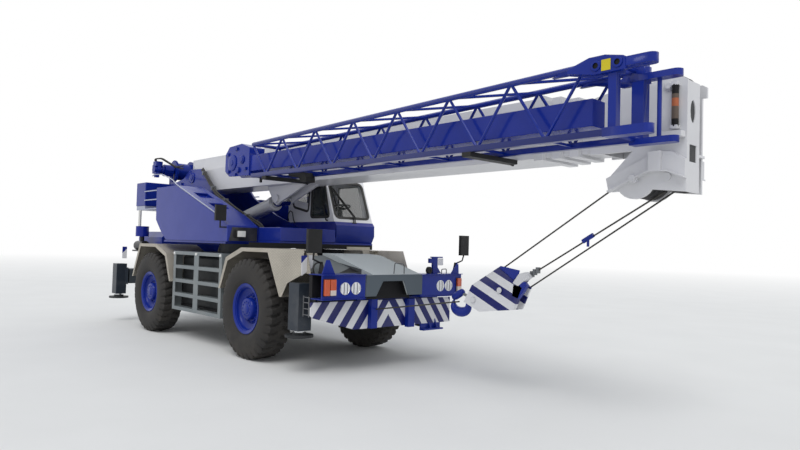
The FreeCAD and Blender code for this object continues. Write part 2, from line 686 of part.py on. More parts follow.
def cover_right():
    """Right-hand engine-bay style cover with its sloping top."""
    z0 = TURNTABLE_BOTTOM + 30
    outline = [(-1180, z0), (1190, z0), (1190, 1990), (790, 2170), (-820, 2730), (-1700, 2720), (-1680, 2110), (-1440, 1900)]
    cover = prism_y(outline, -COVER_Y[1], -COVER_Y[0])
    slope = math.atan2(560, 1610)
    for start in (560.0, 1180.0):
        x = -820 + start * math.cos(slope)
        z = 2730 - start * math.sin(slope)
        slot = box(-150, 150, -COVER_Y[1] + 170, -COVER_Y[0] - 120, -60, 60)
        slot.rotate(V(0, 0, 0), V(0, 1, 0), math.degrees(slope))
        slot.translate(V(x, 0, z))
        cover = cover.cut(slot)
    return cover


def cover_left():
    """Left-hand tank cover behind the cab."""
    z0 = TURNTABLE_BOTTOM + 30
    outline = [(-1180, z0), (CAB_REAR_X - 60, z0), (CAB_REAR_X - 60, 2450), (-1000, 2600), (-1700, 2600), (-1680, 2110),
               (-1440, 1900)]
    return prism_y(outline, COVER_Y[0], COVER_Y[1])


def deck_box():
    """Box ahead of the right-hand cover, up to the front of the cab."""
    x0 = 1190
    shape = box(x0, DECK_BOX_FRONT_X, -COVER_Y[0], CAB_Y[0] - 10, BASE_PLATE_TOP, DECK_BOX_TOP)
    channel = box(x0 - 1, DECK_BOX_FRONT_X - 60, -200, 200, BASE_PLATE_TOP + 10, DECK_BOX_TOP + 1)
    return shape.cut(channel)


def counterweight():
    """Cross slab at the tail, with its outer corners taken off."""
    c = 90
    w = CW_HALF_W
    outline = [(CW_X[1], -w), (CW_X[1], w), (CW_X[0] + c, w), (CW_X[0], w - c), (CW_X[0], c - w), (CW_X[0] + c, -w)]
    return prism_z(outline, CW_Z[0], CW_Z[1])


def tail_rails(covers):
    """Two rails on each side, from the counterweight to the covers."""
    rails = []
    for z in TAIL_RAIL_Z:
        for side in (1, -1):
            rail = bar((CW_X[1], side * TAIL_RAIL_Y, z), (-1600, side * TAIL_RAIL_Y, z), TAIL_RAIL_R, 8)
            for cover in covers:
                rail = rail.cut(cover)
            rails.append(rail)
    return rails


def winches():
    """Two hoist drums side by side between their plates, each with its motor outboard."""
    pieces = []
    flange = WINCH_FLANGE_T
    w = WINCH_HALF_Y
    for side in (1, -1):
        outline = [(0, 0), (0, WINCH_FLANGE_R), (flange, WINCH_FLANGE_R), (flange, WINCH_DRUM_R),
                   (w - flange, WINCH_DRUM_R), (w - flange, WINCH_FLANGE_R), (w, WINCH_FLANGE_R), (w, 0)]
        pieces.append(turned([(side * y, r) for y, r in outline], WINCH_X, 0, WINCH_Z, 24))
        foot = [(WINCH_X - 50, 2700), (WINCH_X + 560, 2700), (WINCH_X + 560, 2920), (WINCH_X + 70, 2960),
                (WINCH_X + 50, WINCH_Z + 130), (WINCH_X - 50, WINCH_Z + 130)]
        plate = prism_y(foot, PLATE_Y[1], PLATE_Y[1] + WINCH_PLATE_T)
        pieces.append(on_side(plate, side))
        for radius, reach in ((60, PLATE_Y[1] + 1), (125, PLATE_Y[1] + 180), (75, WINCH_MOTOR_Y)):
            start = w - 1 if radius == 60 else PLATE_Y[1]
            pieces.append(on_side(cross_bar(WINCH_X, WINCH_Z, radius, start, reach, 12), side))
    return fuse(pieces)


def cab_outline(inset):
    """Side view of the cab, moved inwards by inset."""
    return [(CAB_REAR_X + inset, CAB_FLOOR_Z + inset), (CAB_FRONT_X - 90 - inset, CAB_FLOOR_Z + inset),
            (CAB_FRONT_X - inset, CAB_NOSE_Z), (SCREEN_LOW[0] - inset, SCREEN_LOW[1]),
            (SCREEN_TOP[0] - inset, SCREEN_TOP[1]), (ROOF_FRONT_X - inset, CAB_ROOF_Z - inset),
            (CAB_REAR_X + inset, CAB_ROOF_Z - inset)]


def screen_x(z):
    """Where the windscreen's outer face lies at a height."""
    share = (z - SCREEN_LOW[1]) / (SCREEN_TOP[1] - SCREEN_LOW[1])
    return SCREEN_LOW[0] + share * (SCREEN_TOP[0] - SCREEN_LOW[0])


def door_outline(grow):
    """Outline of the door's opening, grown by a clearance."""
    x0 = DOOR_REAR_X - grow
    z0, z1 = DOOR_Z[0] - grow, DOOR_Z[1] + grow
    return [(x0, z0), (1560 + grow, z0), (1640 + grow, 2140), (screen_x(2800) - 90 + grow, 2800),
            (ROOF_FRONT_X - 60 + grow, z1), (x0, z1)]


SIDE_WINDOWS = (
    # outline of (x, z) corners
    ((1120, 2200), (1670, 2200), (1500, 2800), (1150, 2800)),
    ((640, 2520), (1040, 2450), (1060, 2800), (640, 2800)),
)
DOOR_WINDOW = ((800, 2200), (1590, 2200), (1400, 2800), (800, 2800))
REAR_WINDOW = ((CAB_Y[0] + 120, 2300), (CAB_Y[1] - 120, 2300), (CAB_Y[1] - 120, 2850), (CAB_Y[0] + 120, 2850))


def windscreen(thickness, margin):
    """Slab in the plane of the windscreen, of a given thickness inwards."""
    z0 = SCREEN_LOW[1] + margin
    z1 = SCREEN_TOP[1] - margin
    y0 = CAB_Y[0] + margin
    y1 = CAB_Y[1] - margin
    return prism_y([(screen_x(z0), z0), (screen_x(z1), z1), (screen_x(z1) - thickness, z1), (screen_x(z0) - thickness, z0)],
                   y0, y1)


def cab_shell():
    """Hollow cab with its windows and the door's opening cut, and the door's hinge pins."""
    shell = prism_y(cab_outline(0), CAB_Y[0], CAB_Y[1])
    shell = shell.cut(prism_y(cab_outline(CAB_WALL), CAB_Y[0] + CAB_WALL, CAB_Y[1] - CAB_WALL))
    for window in SIDE_WINDOWS:
        shell = shell.cut(prism_y(window, CAB_Y[0] - 1, CAB_Y[0] + CAB_WALL + 1))
    shell = shell.cut(prism_x(REAR_WINDOW, CAB_REAR_X - 1, CAB_REAR_X + CAB_WALL + 1))
    shell = shell.cut(prism_y(door_outline(DOOR_GAP), CAB_Y[1] - CAB_WALL - 1, CAB_Y[1] + 1))
    cutter = windscreen(CAB_WALL + 40, 55)
    cutter.translate(V(3, 0, 0))
    shell = shell.cut(cutter)
    hinges = []
    for z in HINGE_Z:
        x = DOOR_REAR_X - DOOR_GAP
        y = CAB_Y[1] + HINGE_OUT
        hinges.append(bar((x, y, z - 40), (x, y, z), HINGE_R, 8))
        hinges.append(box(x - 50, x, CAB_Y[1] - 1, y, z - 40, z))
        hinges.append(rod((x, y, z), (x, y, z + 44), HINGE_PIN_R))
    return fuse([shell] + hinges)


def cab_door():
    """Door with its window cut and its hinge barrels."""
    panel = prism_y(door_outline(0), CAB_Y[1] - CAB_WALL, CAB_Y[1])
    panel = panel.cut(prism_y(DOOR_WINDOW, CAB_Y[1] - CAB_WALL - 1, CAB_Y[1] + 1))
    barrels = []
    bores = []
    for z in HINGE_Z:
        x = DOOR_REAR_X - DOOR_GAP
        y = CAB_Y[1] + HINGE_OUT
        barrels.append(bar((x, y, z + 1), (x, y, z + 41), HINGE_R, 8))
        barrels.append(box(x, x + 50, CAB_Y[1] - 1, y, z + 1, z + 41))
        bores.append(rod((x, y, z), (x, y, z + 50), HINGE_PIN_R + FIT))
    return fuse([panel] + barrels).cut(Part.makeCompound(bores))


def cab_glass():
    """Panes in the shell's openings."""
    mid = CAB_Y[0] + CAB_WALL / 2
    panes = [prism_y(window, mid - GLASS_T / 2, mid + GLASS_T / 2) for window in SIDE_WINDOWS]
    mid_x = CAB_REAR_X + CAB_WALL / 2
    panes.append(prism_x(REAR_WINDOW, mid_x - GLASS_T / 2, mid_x + GLASS_T / 2))
    screen = windscreen(GLASS_T, 55)
    screen.translate(V(-10, 0, 0))
    panes.append(screen)
    return panes


def cab_interior():
    """Seat, its base, the console and the steering wheel's column."""
    y = (CAB_Y[0] + CAB_Y[1]) / 2
    floor = CAB_FLOOR_Z + CAB_WALL
    seat = fuse([box(700, 1180, y - 240, y + 240, floor + 330, floor + 440),
                 prism_y([(700, floor + 330), (820, floor + 330), (700, floor + 1050), (600, floor + 1050)], y - 230, y + 230),
                 box(780, 1080, y - 150, y + 150, floor, floor + 330)])
    column = bar((1540, y, floor - 40), (1400, y, floor + 600), 40, 8)
    column = column.common(box(1300, 1700, y - 60, y + 60, floor, floor + 700))
    rim_low = (1405, y, floor + 588)
    rim_high = (1398, y, floor + 618)
    wheel = bar(rim_low, rim_high, 196, 16).cut(bar(rim_low, rim_high, 164, 16))
    spoke = bar((1229, y, floor + 562), (1571, y, floor + 642), 12, 6)
    console = box(1250, 1700, y - 380, y - 270, floor, floor + 480)
    return [seat, fuse([column, wheel, spoke]), console]


def side_mirror():
    """Mirror on the right-hand cover's front corner."""
    arm = bar((1150, -COVER_Y[1], 1960), (1150, -COVER_Y[1] - 110, 1960), 12, 8)
    post = bar((1150, -COVER_Y[1] - 110, 1948), (1150, -COVER_Y[1] - 110, 2200), 12, 8)
    head = box(1125, 1175, -COVER_Y[1] - 200, -COVER_Y[1] - 20, 2060, 2310)
    return fuse([arm, post, head])


def cylinder_line():
    """Base pin, eye and unit direction of the elevating cylinder at rest."""
    base = V(CYL_BASE_X, 0, CYL_BASE_Z)
    eye = V(CYL_EYE_X, 0, CYL_EYE_Z)
    return base, eye, (eye - base).normalize()


def cylinder_barrel():
    """Barrel with its base eye, hollow for the rod."""
    base, eye, along = cylinder_line()
    start = base + along * CYL_NECK
    end = base + along * CYL_BARREL_END
    gland_start = end - along * 90
    neck = bar(base, start, CYL_EYE_HALF_W - SIDE_GAP, 16)
    tube = bar(start, end, CYL_BARREL_R, 20)
    gland = bar(gland_start, end, CYL_BARREL_R + 12, 20)
    eye_boss = cross_bar(CYL_BASE_X, CYL_BASE_Z, CYL_EYE_R, -CYL_EYE_HALF_W, CYL_EYE_HALF_W, 16)
    bore = Part.makeCylinder(CYL_ROD_R + FIT, CYL_BARREL_END, base + along * (CYL_NECK + 10), along)
    pin_bore = cross_rod(CYL_BASE_X, CYL_BASE_Z, CYL_PIN_R + FIT, -CYL_EYE_HALF_W - 1, CYL_EYE_HALF_W + 1)
    return fuse([neck, tube, gland, eye_boss]).cut(bore).cut(pin_bore)


def cylinder_rod():
    """Rod with its eye between the boom's lugs."""
    base, eye, along = cylinder_line()
    length = (eye - base).Length
    start = CYL_NECK + 20
    stem = Part.makeCylinder(CYL_ROD_R, length - start - 60, base + along * start, along)
    eye_boss = cross_bar(CYL_EYE_X, CYL_EYE_Z, CYL_EYE_R, -CYL_EYE_HALF_W, CYL_EYE_HALF_W, 16)
    hole = cross_rod(CYL_EYE_X, CYL_EYE_Z, CYL_PIN_R, -CYL_EYE_HALF_W - 1, CYL_EYE_HALF_W + 1)
    return fuse([stem, eye_boss]).cut(hole)


def section_size(index):
    """Half width, bottom and top of boom section number index, counted from the base."""
    inset = index * SECTION_STEP
    return BOOM_BASE_HALF_W - index * SECTION_STEP_Y, BOOM_Z[0] + inset, BOOM_Z[1] - inset


def boom_section(index, x0, x1, collar):
    """Rectangular tube, with a collar at its mouth that carries the next section on its pads."""
    w, low, high = section_size(index)
    t = BOOM_WALL
    tube = box(x0, x1, -w, w, low, high).cut(box(x0 - 1, x1 + 1, -w + t, w - t, low + t, high - t))
    if not collar:
        return tube
    nw, nlow, nhigh = section_size(index + 1)
    ring = box(x1 - COLLAR_L, x1, -w - COLLAR_T, w + COLLAR_T, low - COLLAR_T, high + COLLAR_T)
    hole = box(x1 - COLLAR_L - 1, x1 + 1, -nw - SEAT, nw + SEAT, nlow - SEAT, nhigh + SEAT)
    return fuse([tube, ring]).cut(hole)


def boom_base():
    """Base section with its foot boss and the lugs for the elevating cylinder."""
    tube = boom_section(0, BOOM_REAR_X, BASE_FRONT_X, True)
    boss = cross_bar(FOOT_X, FOOT_Z, FOOT_BOSS_R, -PLATE_Y[0] + SIDE_GAP, PLATE_Y[0] - SIDE_GAP, 16)
    bore = cross_rod(FOOT_X, FOOT_Z, FOOT_PIN_R + FIT, -PLATE_Y[0], PLATE_Y[0])
    lug_in = CYL_EYE_HALF_W + SIDE_GAP
    x, z = CYL_EYE_X, CYL_EYE_Z
    outline = [(x - 330, BOOM_Z[0] + 4), (x - 115, z - 60), (x, z - 115), (x + 115, z - 60), (x + 900, BOOM_Z[0] + 4)]
    lugs = both_sides(prism_y(outline, lug_in, lug_in + 40))
    pin_ends = both_sides(cross_bar(x, z, CYL_PIN_R + 25, lug_in + 40, lug_in + 75, 12))
    return fuse([tube, boss] + lugs + pin_ends).cut(bore)


def jib_top(x):
    """Height of the fly jib's upper chords at a place along it."""
    share = (x - JIB_X[0]) / (JIB_X[1] - JIB_X[0])
    return JIB_TOP_Z[0] + share * (JIB_TOP_Z[1] - JIB_TOP_Z[0])


def jib_fork(y, z, end, thickness):
    """Flat eye bar at the jib's root, round at its end."""
    half = JIB_FORK_HALF_W
    bar_part = box(JIB_X[1] - 100, end - half, y - half, y + half, z - thickness / 2, z + thickness / 2)
    return fuse([bar_part, bar((end - half, y, z - thickness / 2), (end - half, y, z + thickness / 2), half, 16)])


def jib_root(y, post, post_rise, thickness, drop):
    """Root of one side of the jib: eye plate, post and the two forks that would pin to the boom's head."""
    x = JIB_X[1]
    top = JIB_TOP_Z[1]
    low = JIB_LOW_Z
    plate = prism_y([(x - 640, top - 60), (x - 261, top + 57), (x - 105, top + 57), (x + 65, top + 20), (x + 65, top - 130),
                     (x - 190, top - 130), (x - 480, top - 60)], y - JIB_PLATE_T / 2, y + JIB_PLATE_T / 2)
    for eye_x in (x - 210, x):
        plate = plate.cut(cross_bar(eye_x, top - 25, 26, y - JIB_PLATE_T, y + JIB_PLATE_T, 10))
    pieces = [plate]
    pieces.append(square_bar((x - 24, y, low - JIB_CHORD_R), (x - 24, y, top + post_rise), post))
    pieces.append(jib_fork(y, top - 48 + drop, x + 357, thickness))
    pieces.append(jib_fork(y, low - 3 + drop, x + 328, thickness))
    return fuse(pieces)


def jib_lattice():
    """Four chords with zig-zag lacing on every side, between an end frame and the root."""
    x0, x1 = JIB_X
    pieces = []
    for y, post, post_rise, thickness, drop in JIB_SIDES:
        pieces.append(square_bar((x0, y, JIB_LOW_Z), (x1, y, JIB_LOW_Z), 2 * JIB_CHORD_R))
        pieces.append(bar((x0, y, jib_top(x0)), (x1, y, jib_top(x1)), JIB_CHORD_R, 8))
        pieces.append(jib_root(y, post, post_rise, thickness, drop))
    pitch = (x1 - 300 - x0) / JIB_BAYS
    for bay in range(JIB_BAYS):
        a = x0 + bay * pitch
        mid = a + pitch / 2
        b = a + pitch
        for y in (JIB_OUTER_Y, JIB_INNER_Y):
            pieces.append(bar((a, y, jib_top(a)), (mid, y, JIB_LOW_Z), JIB_LACE_R, 6))
            pieces.append(bar((mid, y, JIB_LOW_Z), (b, y, jib_top(b)), JIB_LACE_R, 6))
        pieces.append(bar((a, JIB_OUTER_Y, jib_top(a)), (b, JIB_INNER_Y, jib_top(b)), JIB_LACE_R, 4))
        pieces.append(bar((mid, JIB_OUTER_Y, JIB_LOW_Z), (mid, JIB_INNER_Y, JIB_LOW_Z), JIB_LACE_R, 4))
    for x in (x0, x1 - 60):
        pieces.append(bar((x, JIB_OUTER_Y, JIB_LOW_Z), (x, JIB_INNER_Y, JIB_LOW_Z), JIB_CHORD_R - 4, 6))
        pieces.append(bar((x, JIB_OUTER_Y, jib_top(x)), (x, JIB_INNER_Y, jib_top(x)), JIB_CHORD_R - 4, 6))
    pieces.append(bar((x1 + 152, JIB_INNER_Y, JIB_LOW_Z), (x1 + 152, JIB_INNER_Y, JIB_TOP_Z[1] - 60), 20, 8))
    return fuse(pieces)


def jib_inner():
    """Boxed second stage, run in between the lattice, with its sheave head at the thin end."""
    beam = box(JIB_BOX_X[0], JIB_BOX_X[1], JIB_BOX_Y[0], JIB_BOX_Y[1], JIB_BOX_Z[0], JIB_BOX_Z[1])
    y0, y1 = JIB_BOX_Y
    x0 = JIB_BOX_X[0]
    head = prism_y([(x0 - 230, 2900), (x0 - 90, 2810), (x0 + 560, 2790), (x0 + 560, 3240), (x0 + 300, 3320), (x0 - 100, 3300),
                    (x0 - 230, 3180)], y0 - 30, y1 + 30)
    gap = box(x0 - 300, x0 + 220, y0 + 20, y1 - 20, 2780, 3400)
    mid = (y0 + y1) / 2
    end_sheave = cross_bar(JIB_BOX_X[0] - 40, 3020, 130, mid - 25, mid + 25, 20)
    axle_pin = cross_bar(JIB_BOX_X[0] - 40, 3020, 25, y0 - 20, y1 + 20, 10)
    return fuse([fuse([beam, head]).cut(gap), end_sheave, axle_pin])


def jib_brackets():
    """Supports that hold the stowed jib to the boom's base section."""
    w = BOOM_BASE_HALF_W
    shapes = []
    for x in (2100.0, 6100.0):
        arm = box(x - 60, x + 60, JIB_OUTER_Y - 40, -w, JIB_LOW_Z - JIB_CHORD_R - 50, JIB_LOW_Z - JIB_CHORD_R)
        web = prism_x([(-w, BOOM_Z[0] + 30), (-w, JIB_LOW_Z - JIB_CHORD_R), (-w - 320, JIB_LOW_Z - JIB_CHORD_R)], x - 15, x + 15)
        shapes.append(fuse([arm, web]))
    for x, reach in ((1300.0, 30.0), (4200.0, 0.0)):
        shapes.append(box(x - 30, x + 30, JIB_BOX_Y[1] + reach, -w, 2960, 3020))
    return shapes


HEAD_OUTLINE = (
    # corners (x, z) of the head's side plates, from the boom's belly round the front to the rear lobe
    (7000, 2720), (7000, 3290), (7300, 3350), (HEAD_FRONT_X - 100, 3370), (HEAD_FRONT_X - 40, 3366), (HEAD_FRONT_X, 3340),
    (HEAD_FRONT_X, HEAD_BOTTOM), (HEAD_FRONT_X - 360, 2342), (7240, 2330), (7200, 2464), (7453, 2720),
)
HEAD_GUARD = (
    # corners (x, z) of the stiffener that stands out on the side plate, from the rear lobe to the front
    (7200, 2464), (7230, 2325), (7644, 2506), (7820, 2494), (HEAD_FRONT_X, 2428), (HEAD_FRONT_X, 2605), (7853, 2680),
    (7650, 2698), (7610, 2640),
)
HEAD_FLANGE = (
    # corners (x, z) of the flange along that stiffener's lower edge
    (7230, 2325), (7644, 2506), (7820, 2494), (HEAD_FRONT_X, 2428), (HEAD_FRONT_X, 2442), (7824, 2508), (7640, 2520),
    (7224, 2339),
)


def head_front():
    """Plate across the right half of the head's front, with an oval hole over a square one."""
    y0, y1 = HEAD_PLATE_Y
    x0 = HEAD_FRONT_X - HEAD_FRONT_T
    face = box(x0, HEAD_FRONT_X, -y1, 40, HEAD_BOTTOM, 3335)
    window = box(x0 - 1, HEAD_FRONT_X + 1, -175, -25, 2585, 2745)
    oval = [(-108 + 56 * math.sin(math.radians(a)), 3055 + 108 * math.cos(math.radians(a))) for a in range(0, 360, 30)]
    return face.cut(window).cut(prism_x(oval, x0 - 1, HEAD_FRONT_X + 1))


def boom_head():
    """Two side plates with stiffeners, flanges and sheave guards, joined by cross plates and the sheaves' pins."""
    y0, y1 = HEAD_PLATE_Y
    front = HEAD_FRONT_X
    guard_in = y0 - 14
    lobe = cross_bar(HEAD_SHEAVE_X, HEAD_SHEAVE_Z, HEAD_SHEAVE_R + 12, guard_in, y1, 24)
    plate = fuse([prism_y(HEAD_OUTLINE, y0, y1), lobe, prism_y(HEAD_GUARD, y1 - 1, y1 + HEAD_GUARD_T),
                  prism_y(HEAD_FLANGE, y1 - 1, y1 + HEAD_FLANGE_W)])
    w, low, high = section_size(3)
    left = mirrored(plate).cut(box(front - 45, front + 1, -y1 - 100, -y0 + 1, HEAD_BOTTOM - 1, 3240))
    parts = [mirrored(plate), mirrored(left), head_front()]
    parts.append(box(7100, 7130, -y0, y0, low, high))
    parts.append(box(front - 160, front - HEAD_FRONT_T, -y0, y0, 2650, 2675))
    parts.append(box(7000, 7600, -y0, y0, high - BOOM_WALL, high + 12))
    roller_x = front - 95
    roller_y = -y1 - 40
    parts.append(bar((roller_x, roller_y, 2880), (roller_x, roller_y, 3320), 28, 12))
    for z in (2900, 3300):
        parts.append(box(roller_x - 30, roller_x + 30, roller_y - 30, -y1 + 1, z - 15, z + 15))
    for x, z in ((HEAD_SHEAVE_X, HEAD_SHEAVE_Z), (HEAD_FRONT_SHEAVE_X, HEAD_SHEAVE_Z), (HEAD_TOP_SHEAVE_X, HEAD_TOP_SHEAVE_Z)):
        parts.append(cross_bar(x, z, HEAD_PIN_R, -y1 - 15, y1 + 15, 12))
    return fuse(parts).cut(boom_section(3, 6000, 7110, False))


def fall_heading():
    """Angle of the line from the hook block's sheaves to the head's, above the level."""
    return math.atan2(HEAD_SHEAVE_Z - HOOK_SHEAVE[1], HEAD_SHEAVE_X - HOOK_SHEAVE[0])


def sheave(x, y, z, radius, bore):
    """Grooved sheave about a line along Y, with two of its corners where the falls touch it."""
    t = SHEAVE_T / 2
    foot = ROPE_R + 1
    outline = [(-t, bore), (-t, radius), (-foot, radius - SHEAVE_GROOVE), (foot, radius - SHEAVE_GROOVE), (t, radius),
               (t, bore)]
    return turned(outline, x, y, z, SHEAVE_SIDES, -fall_heading())


def head_sheaves():
    """Sheaves on the head's pins."""
    wheels = []
    bore = HEAD_PIN_R / math.cos(math.pi / SHEAVE_SIDES) + FIT
    for y in HEAD_SHEAVE_YS:
        wheels.append(sheave(HEAD_SHEAVE_X, y, HEAD_SHEAVE_Z, HEAD_SHEAVE_R, bore))
        wheels.append(sheave(HEAD_FRONT_SHEAVE_X, y, HEAD_SHEAVE_Z, 130, bore))
    for y in HEAD_SHEAVE_YS[1:3]:
        wheels.append(sheave(HEAD_TOP_SHEAVE_X, y, HEAD_TOP_SHEAVE_Z, 130, bore))
    return wheels


HOOK_OUTLINE = (
    # corners (x, z) of the block's cheeks
    (5160, 1120), (5380, 1290), (5780, 1520), (6220, 1260), (6020, 1040), (5500, 980),
)


def hook_block():
    """Two thick cheeks on either side of the sheaves, with their pin and the becket."""
    half = HOOK_CHEEK_HALF
    cheeks = both_sides(prism_y(HOOK_OUTLINE, half - 55, half))
    pin = cross_bar(HOOK_SHEAVE[0], HOOK_SHEAVE[1], 30, -half - 12, half + 12, 12)
    spacer = prism_y([(5160, 1120), (5330, 1250), (5420, 1120), (5400, 1000)], -half + 50, half - 50)
    becket = prism_y([(5960, 1330), (6030, 1300), (6140, 1400), (6090, 1470), (6020, 1440)], -25, 25)
    cross = cross_bar(6000, 1340, 22, -half + 50, half - 50, 8)
    sheaves = [sheave(HOOK_SHEAVE[0], y, HOOK_SHEAVE[1], HOOK_SHEAVE_R, 20) for y in HEAD_SHEAVE_YS[1:3]]
    return fuse(cheeks + [pin, spacer, cross, becket] + sheaves)


def hook():
    """Hook bowl, open upwards, with its shank under the block."""
    x, z = HOOK_CENTRE
    outer = [(x + HOOK_OUTER_R * math.cos(math.radians(a)), z + HOOK_OUTER_R * math.sin(math.radians(a)))
             for a in range(130, 416, 15)]
    inner = [(x + HOOK_INNER_R * math.cos(math.radians(a)), z + HOOK_INNER_R * math.sin(math.radians(a)))
             for a in range(415, 144, -15)]
    bowl = prism_y(outer + inner, -HOOK_HALF_T, HOOK_HALF_T)
    shank = bar((x + 70, 0, z + 75), (5215, 0, 1150), 45, 10)
    return fuse([bowl, shank]).cut(hook_block())


def hoist_ropes():
    """Falls that leave the head's sheaves and meet the block's sheaves, each tangent to both grooves."""
    low = V(HOOK_SHEAVE[0], 0, HOOK_SHEAVE[1])
    high = V(HEAD_SHEAVE_X, 0, HEAD_SHEAVE_Z)
    low_r = HOOK_SHEAVE_R - SHEAVE_GROOVE + ROPE_R + SEAT
    high_r = HEAD_SHEAVE_R - SHEAVE_GROOVE + ROPE_R + SEAT
    along = high - low
    heading = fall_heading()
    lean = math.acos((low_r - high_r) / along.Length)
    falls = []
    for y in HEAD_SHEAVE_YS[1:3]:
        for side in (1, -1):
            out = V(math.cos(heading + side * lean), 0, math.sin(heading + side * lean))
            a = low + out * low_r + V(0, y, 0)
            b = high + out * high_r + V(0, y, 0)
            falls.append(rod((a.x, a.y, a.z), (b.x, b.y, b.z), ROPE_R))
    return falls


def build():
    """Write every piece."""
    os.makedirs("parts", exist_ok=True)
    frame = carrier_frame()
    save("carrier_frame", [frame])
    save("axles", [axle(REAR_AXLE_X), axle(FRONT_AXLE_X)])
    save("outrigger_boxes", [shape.cut(frame) for shape in outrigger_boxes()])
    for name, x, side in WHEELS:
        turn = on_side(knuckle(), side)
        turn.translate(V(x, side * KINGPIN_Y, TYRE_R))
        save("knuckle_" + name, [turn])
        for node, shape in (("rim_", rim()), ("tyre_", tyre())):
            wheel = on_side(shape, side)
            wheel.translate(V(x, side * WHEEL_Y, TYRE_R))
            save(node + name, [wheel])
    for name, x, side, place in OUTRIGGERS:
        save("outrigger_beam_" + name, [on_side(outrigger_beam(x, place), side)])
        save("jack_" + name, [on_side(jack(x), side)])
    save("fenders", fenders())
    save("side_steps", both_sides(side_steps()))
    save("side_tanks", both_sides(side_tank()))
    save("engine_hood", [engine_hood()])
    engine = box(ENGINE_X[0], ENGINE_X[1], -ENGINE_HALF_W, ENGINE_HALF_W, ENGINE_Z[0], ENGINE_Z[1])
    save("engine_block", [engine])
    save("exhaust", [exhaust()])
    save("front_deck", [nose()])
    save("lamp_boxes", both_sides(lamp_box()))
    save("headlamps", headlamps())
    save("front_bumper", [bumper()])
    save("front_mirrors", [mirror_front(1), mirror_front(-1)])
    save("slew_ring", [slew_ring()])
    save("turntable_frame", [turntable_frame()])
    covers = [cover_right(), cover_left()]
    save("side_covers", covers + [deck_box()])
    save("counterweight", [counterweight()])
    save("tail_rails", tail_rails(covers))
    save("winches", [winches()])
    save("cab_shell", [cab_shell()])
    save("cab_glass", cab_glass())
    save("cab_interior", cab_interior())
    save("cab_door", [cab_door()])
    door_mid = CAB_Y[1] - CAB_WALL / 2
    save("cab_door_glass", [prism_y(DOOR_WINDOW, door_mid - GLASS_T / 2, door_mid + GLASS_T / 2)])
    save("side_mirror", [side_mirror()])
    save("cylinder_barrel", [cylinder_barrel()])
    save("cylinder_rod", [cylinder_rod()])
    save("boom_base", [boom_base()])
    for index in (1, 2):
        rear = SECTION_REAR_X + (index - 1) * SECTION_REAR_STEP
        save("boom_section_" + str(index + 1), [boom_section(index, rear, BASE_FRONT_X + index * SECTION_FRONT_STEP, True)])
    save("boom_section_4", [boom_section(3, SECTION_REAR_X + 2 * SECTION_REAR_STEP, 7110, False)])
    save("boom_head", [boom_head()])
    save("head_sheaves", head_sheaves())
    save("jib_lattice", [jib_lattice()])
    save("jib_inner", [jib_inner()])
    save("jib_brackets", jib_brackets())
    save("hook_block", [hook_block()])
    save("hook", [hook()])
    save("hoist_ropes", hoist_ropes())


build()
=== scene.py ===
import math

import bmesh
import bpy
import numpy as np
from mathutils import Matrix, Vector


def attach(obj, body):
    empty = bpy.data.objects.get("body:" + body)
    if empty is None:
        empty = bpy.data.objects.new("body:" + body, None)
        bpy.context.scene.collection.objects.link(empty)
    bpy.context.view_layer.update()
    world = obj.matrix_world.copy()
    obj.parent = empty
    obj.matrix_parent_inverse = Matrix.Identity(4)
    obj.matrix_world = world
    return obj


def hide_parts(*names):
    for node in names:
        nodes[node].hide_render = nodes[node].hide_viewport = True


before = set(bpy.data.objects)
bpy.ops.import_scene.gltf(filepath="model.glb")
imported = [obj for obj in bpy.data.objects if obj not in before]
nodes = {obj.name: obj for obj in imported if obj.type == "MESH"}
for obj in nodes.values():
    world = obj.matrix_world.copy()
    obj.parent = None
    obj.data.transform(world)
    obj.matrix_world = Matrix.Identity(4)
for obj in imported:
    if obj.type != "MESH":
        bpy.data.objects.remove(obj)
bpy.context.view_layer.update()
scene = bpy.context.scene
scene.view_settings.view_transform = "Standard"

# Camera. It stands where the photograph was taken from: low, ahead of the crane and to its right;
# focal length and frame width are in the photograph's pixels.
FOCAL_PX, WIDTH_PX = 640, 800
CAMERA_PLACE = (10.4813, -6.0695, 1.7388)
YAW_PITCH_ROLL_DEG = (137.275, 1.873, 1.575)
photo_camera = bpy.data.cameras.new("photo_camera")
photo_camera.sensor_width = 36.0
photo_camera.lens = FOCAL_PX / WIDTH_PX * 36
yaw, pitch, roll = (math.radians(angle) for angle in YAW_PITCH_ROLL_DEG)
ahead = Vector((math.cos(yaw) * math.cos(pitch), math.sin(yaw) * math.cos(pitch), math.sin(pitch)))
level = Vector((math.sin(yaw), -math.cos(yaw), 0))
upward = level.cross(ahead)
stand = Matrix((math.cos(roll) * level + math.sin(roll) * upward,
                math.cos(roll) * upward - math.sin(roll) * level, -ahead)).transposed().to_4x4()
stand.translation = CAMERA_PLACE
camera = bpy.data.objects.new("photo_camera", photo_camera)
camera.matrix_world = stand
scene.collection.objects.link(camera)
scene.camera = camera


# Floor and light. A pale studio floor that fades to the white surround, an even sky and one broad
# lamp, so that every colour comes out about as it is written.
def arithmetic(operation, swapped=False):
    """An operator that adds the Math node of that name, its two values swapped where asked."""
    def worked_out(self, other):
        return self.sum(operation, *((other, self) if swapped else (self, other)))
    return worked_out


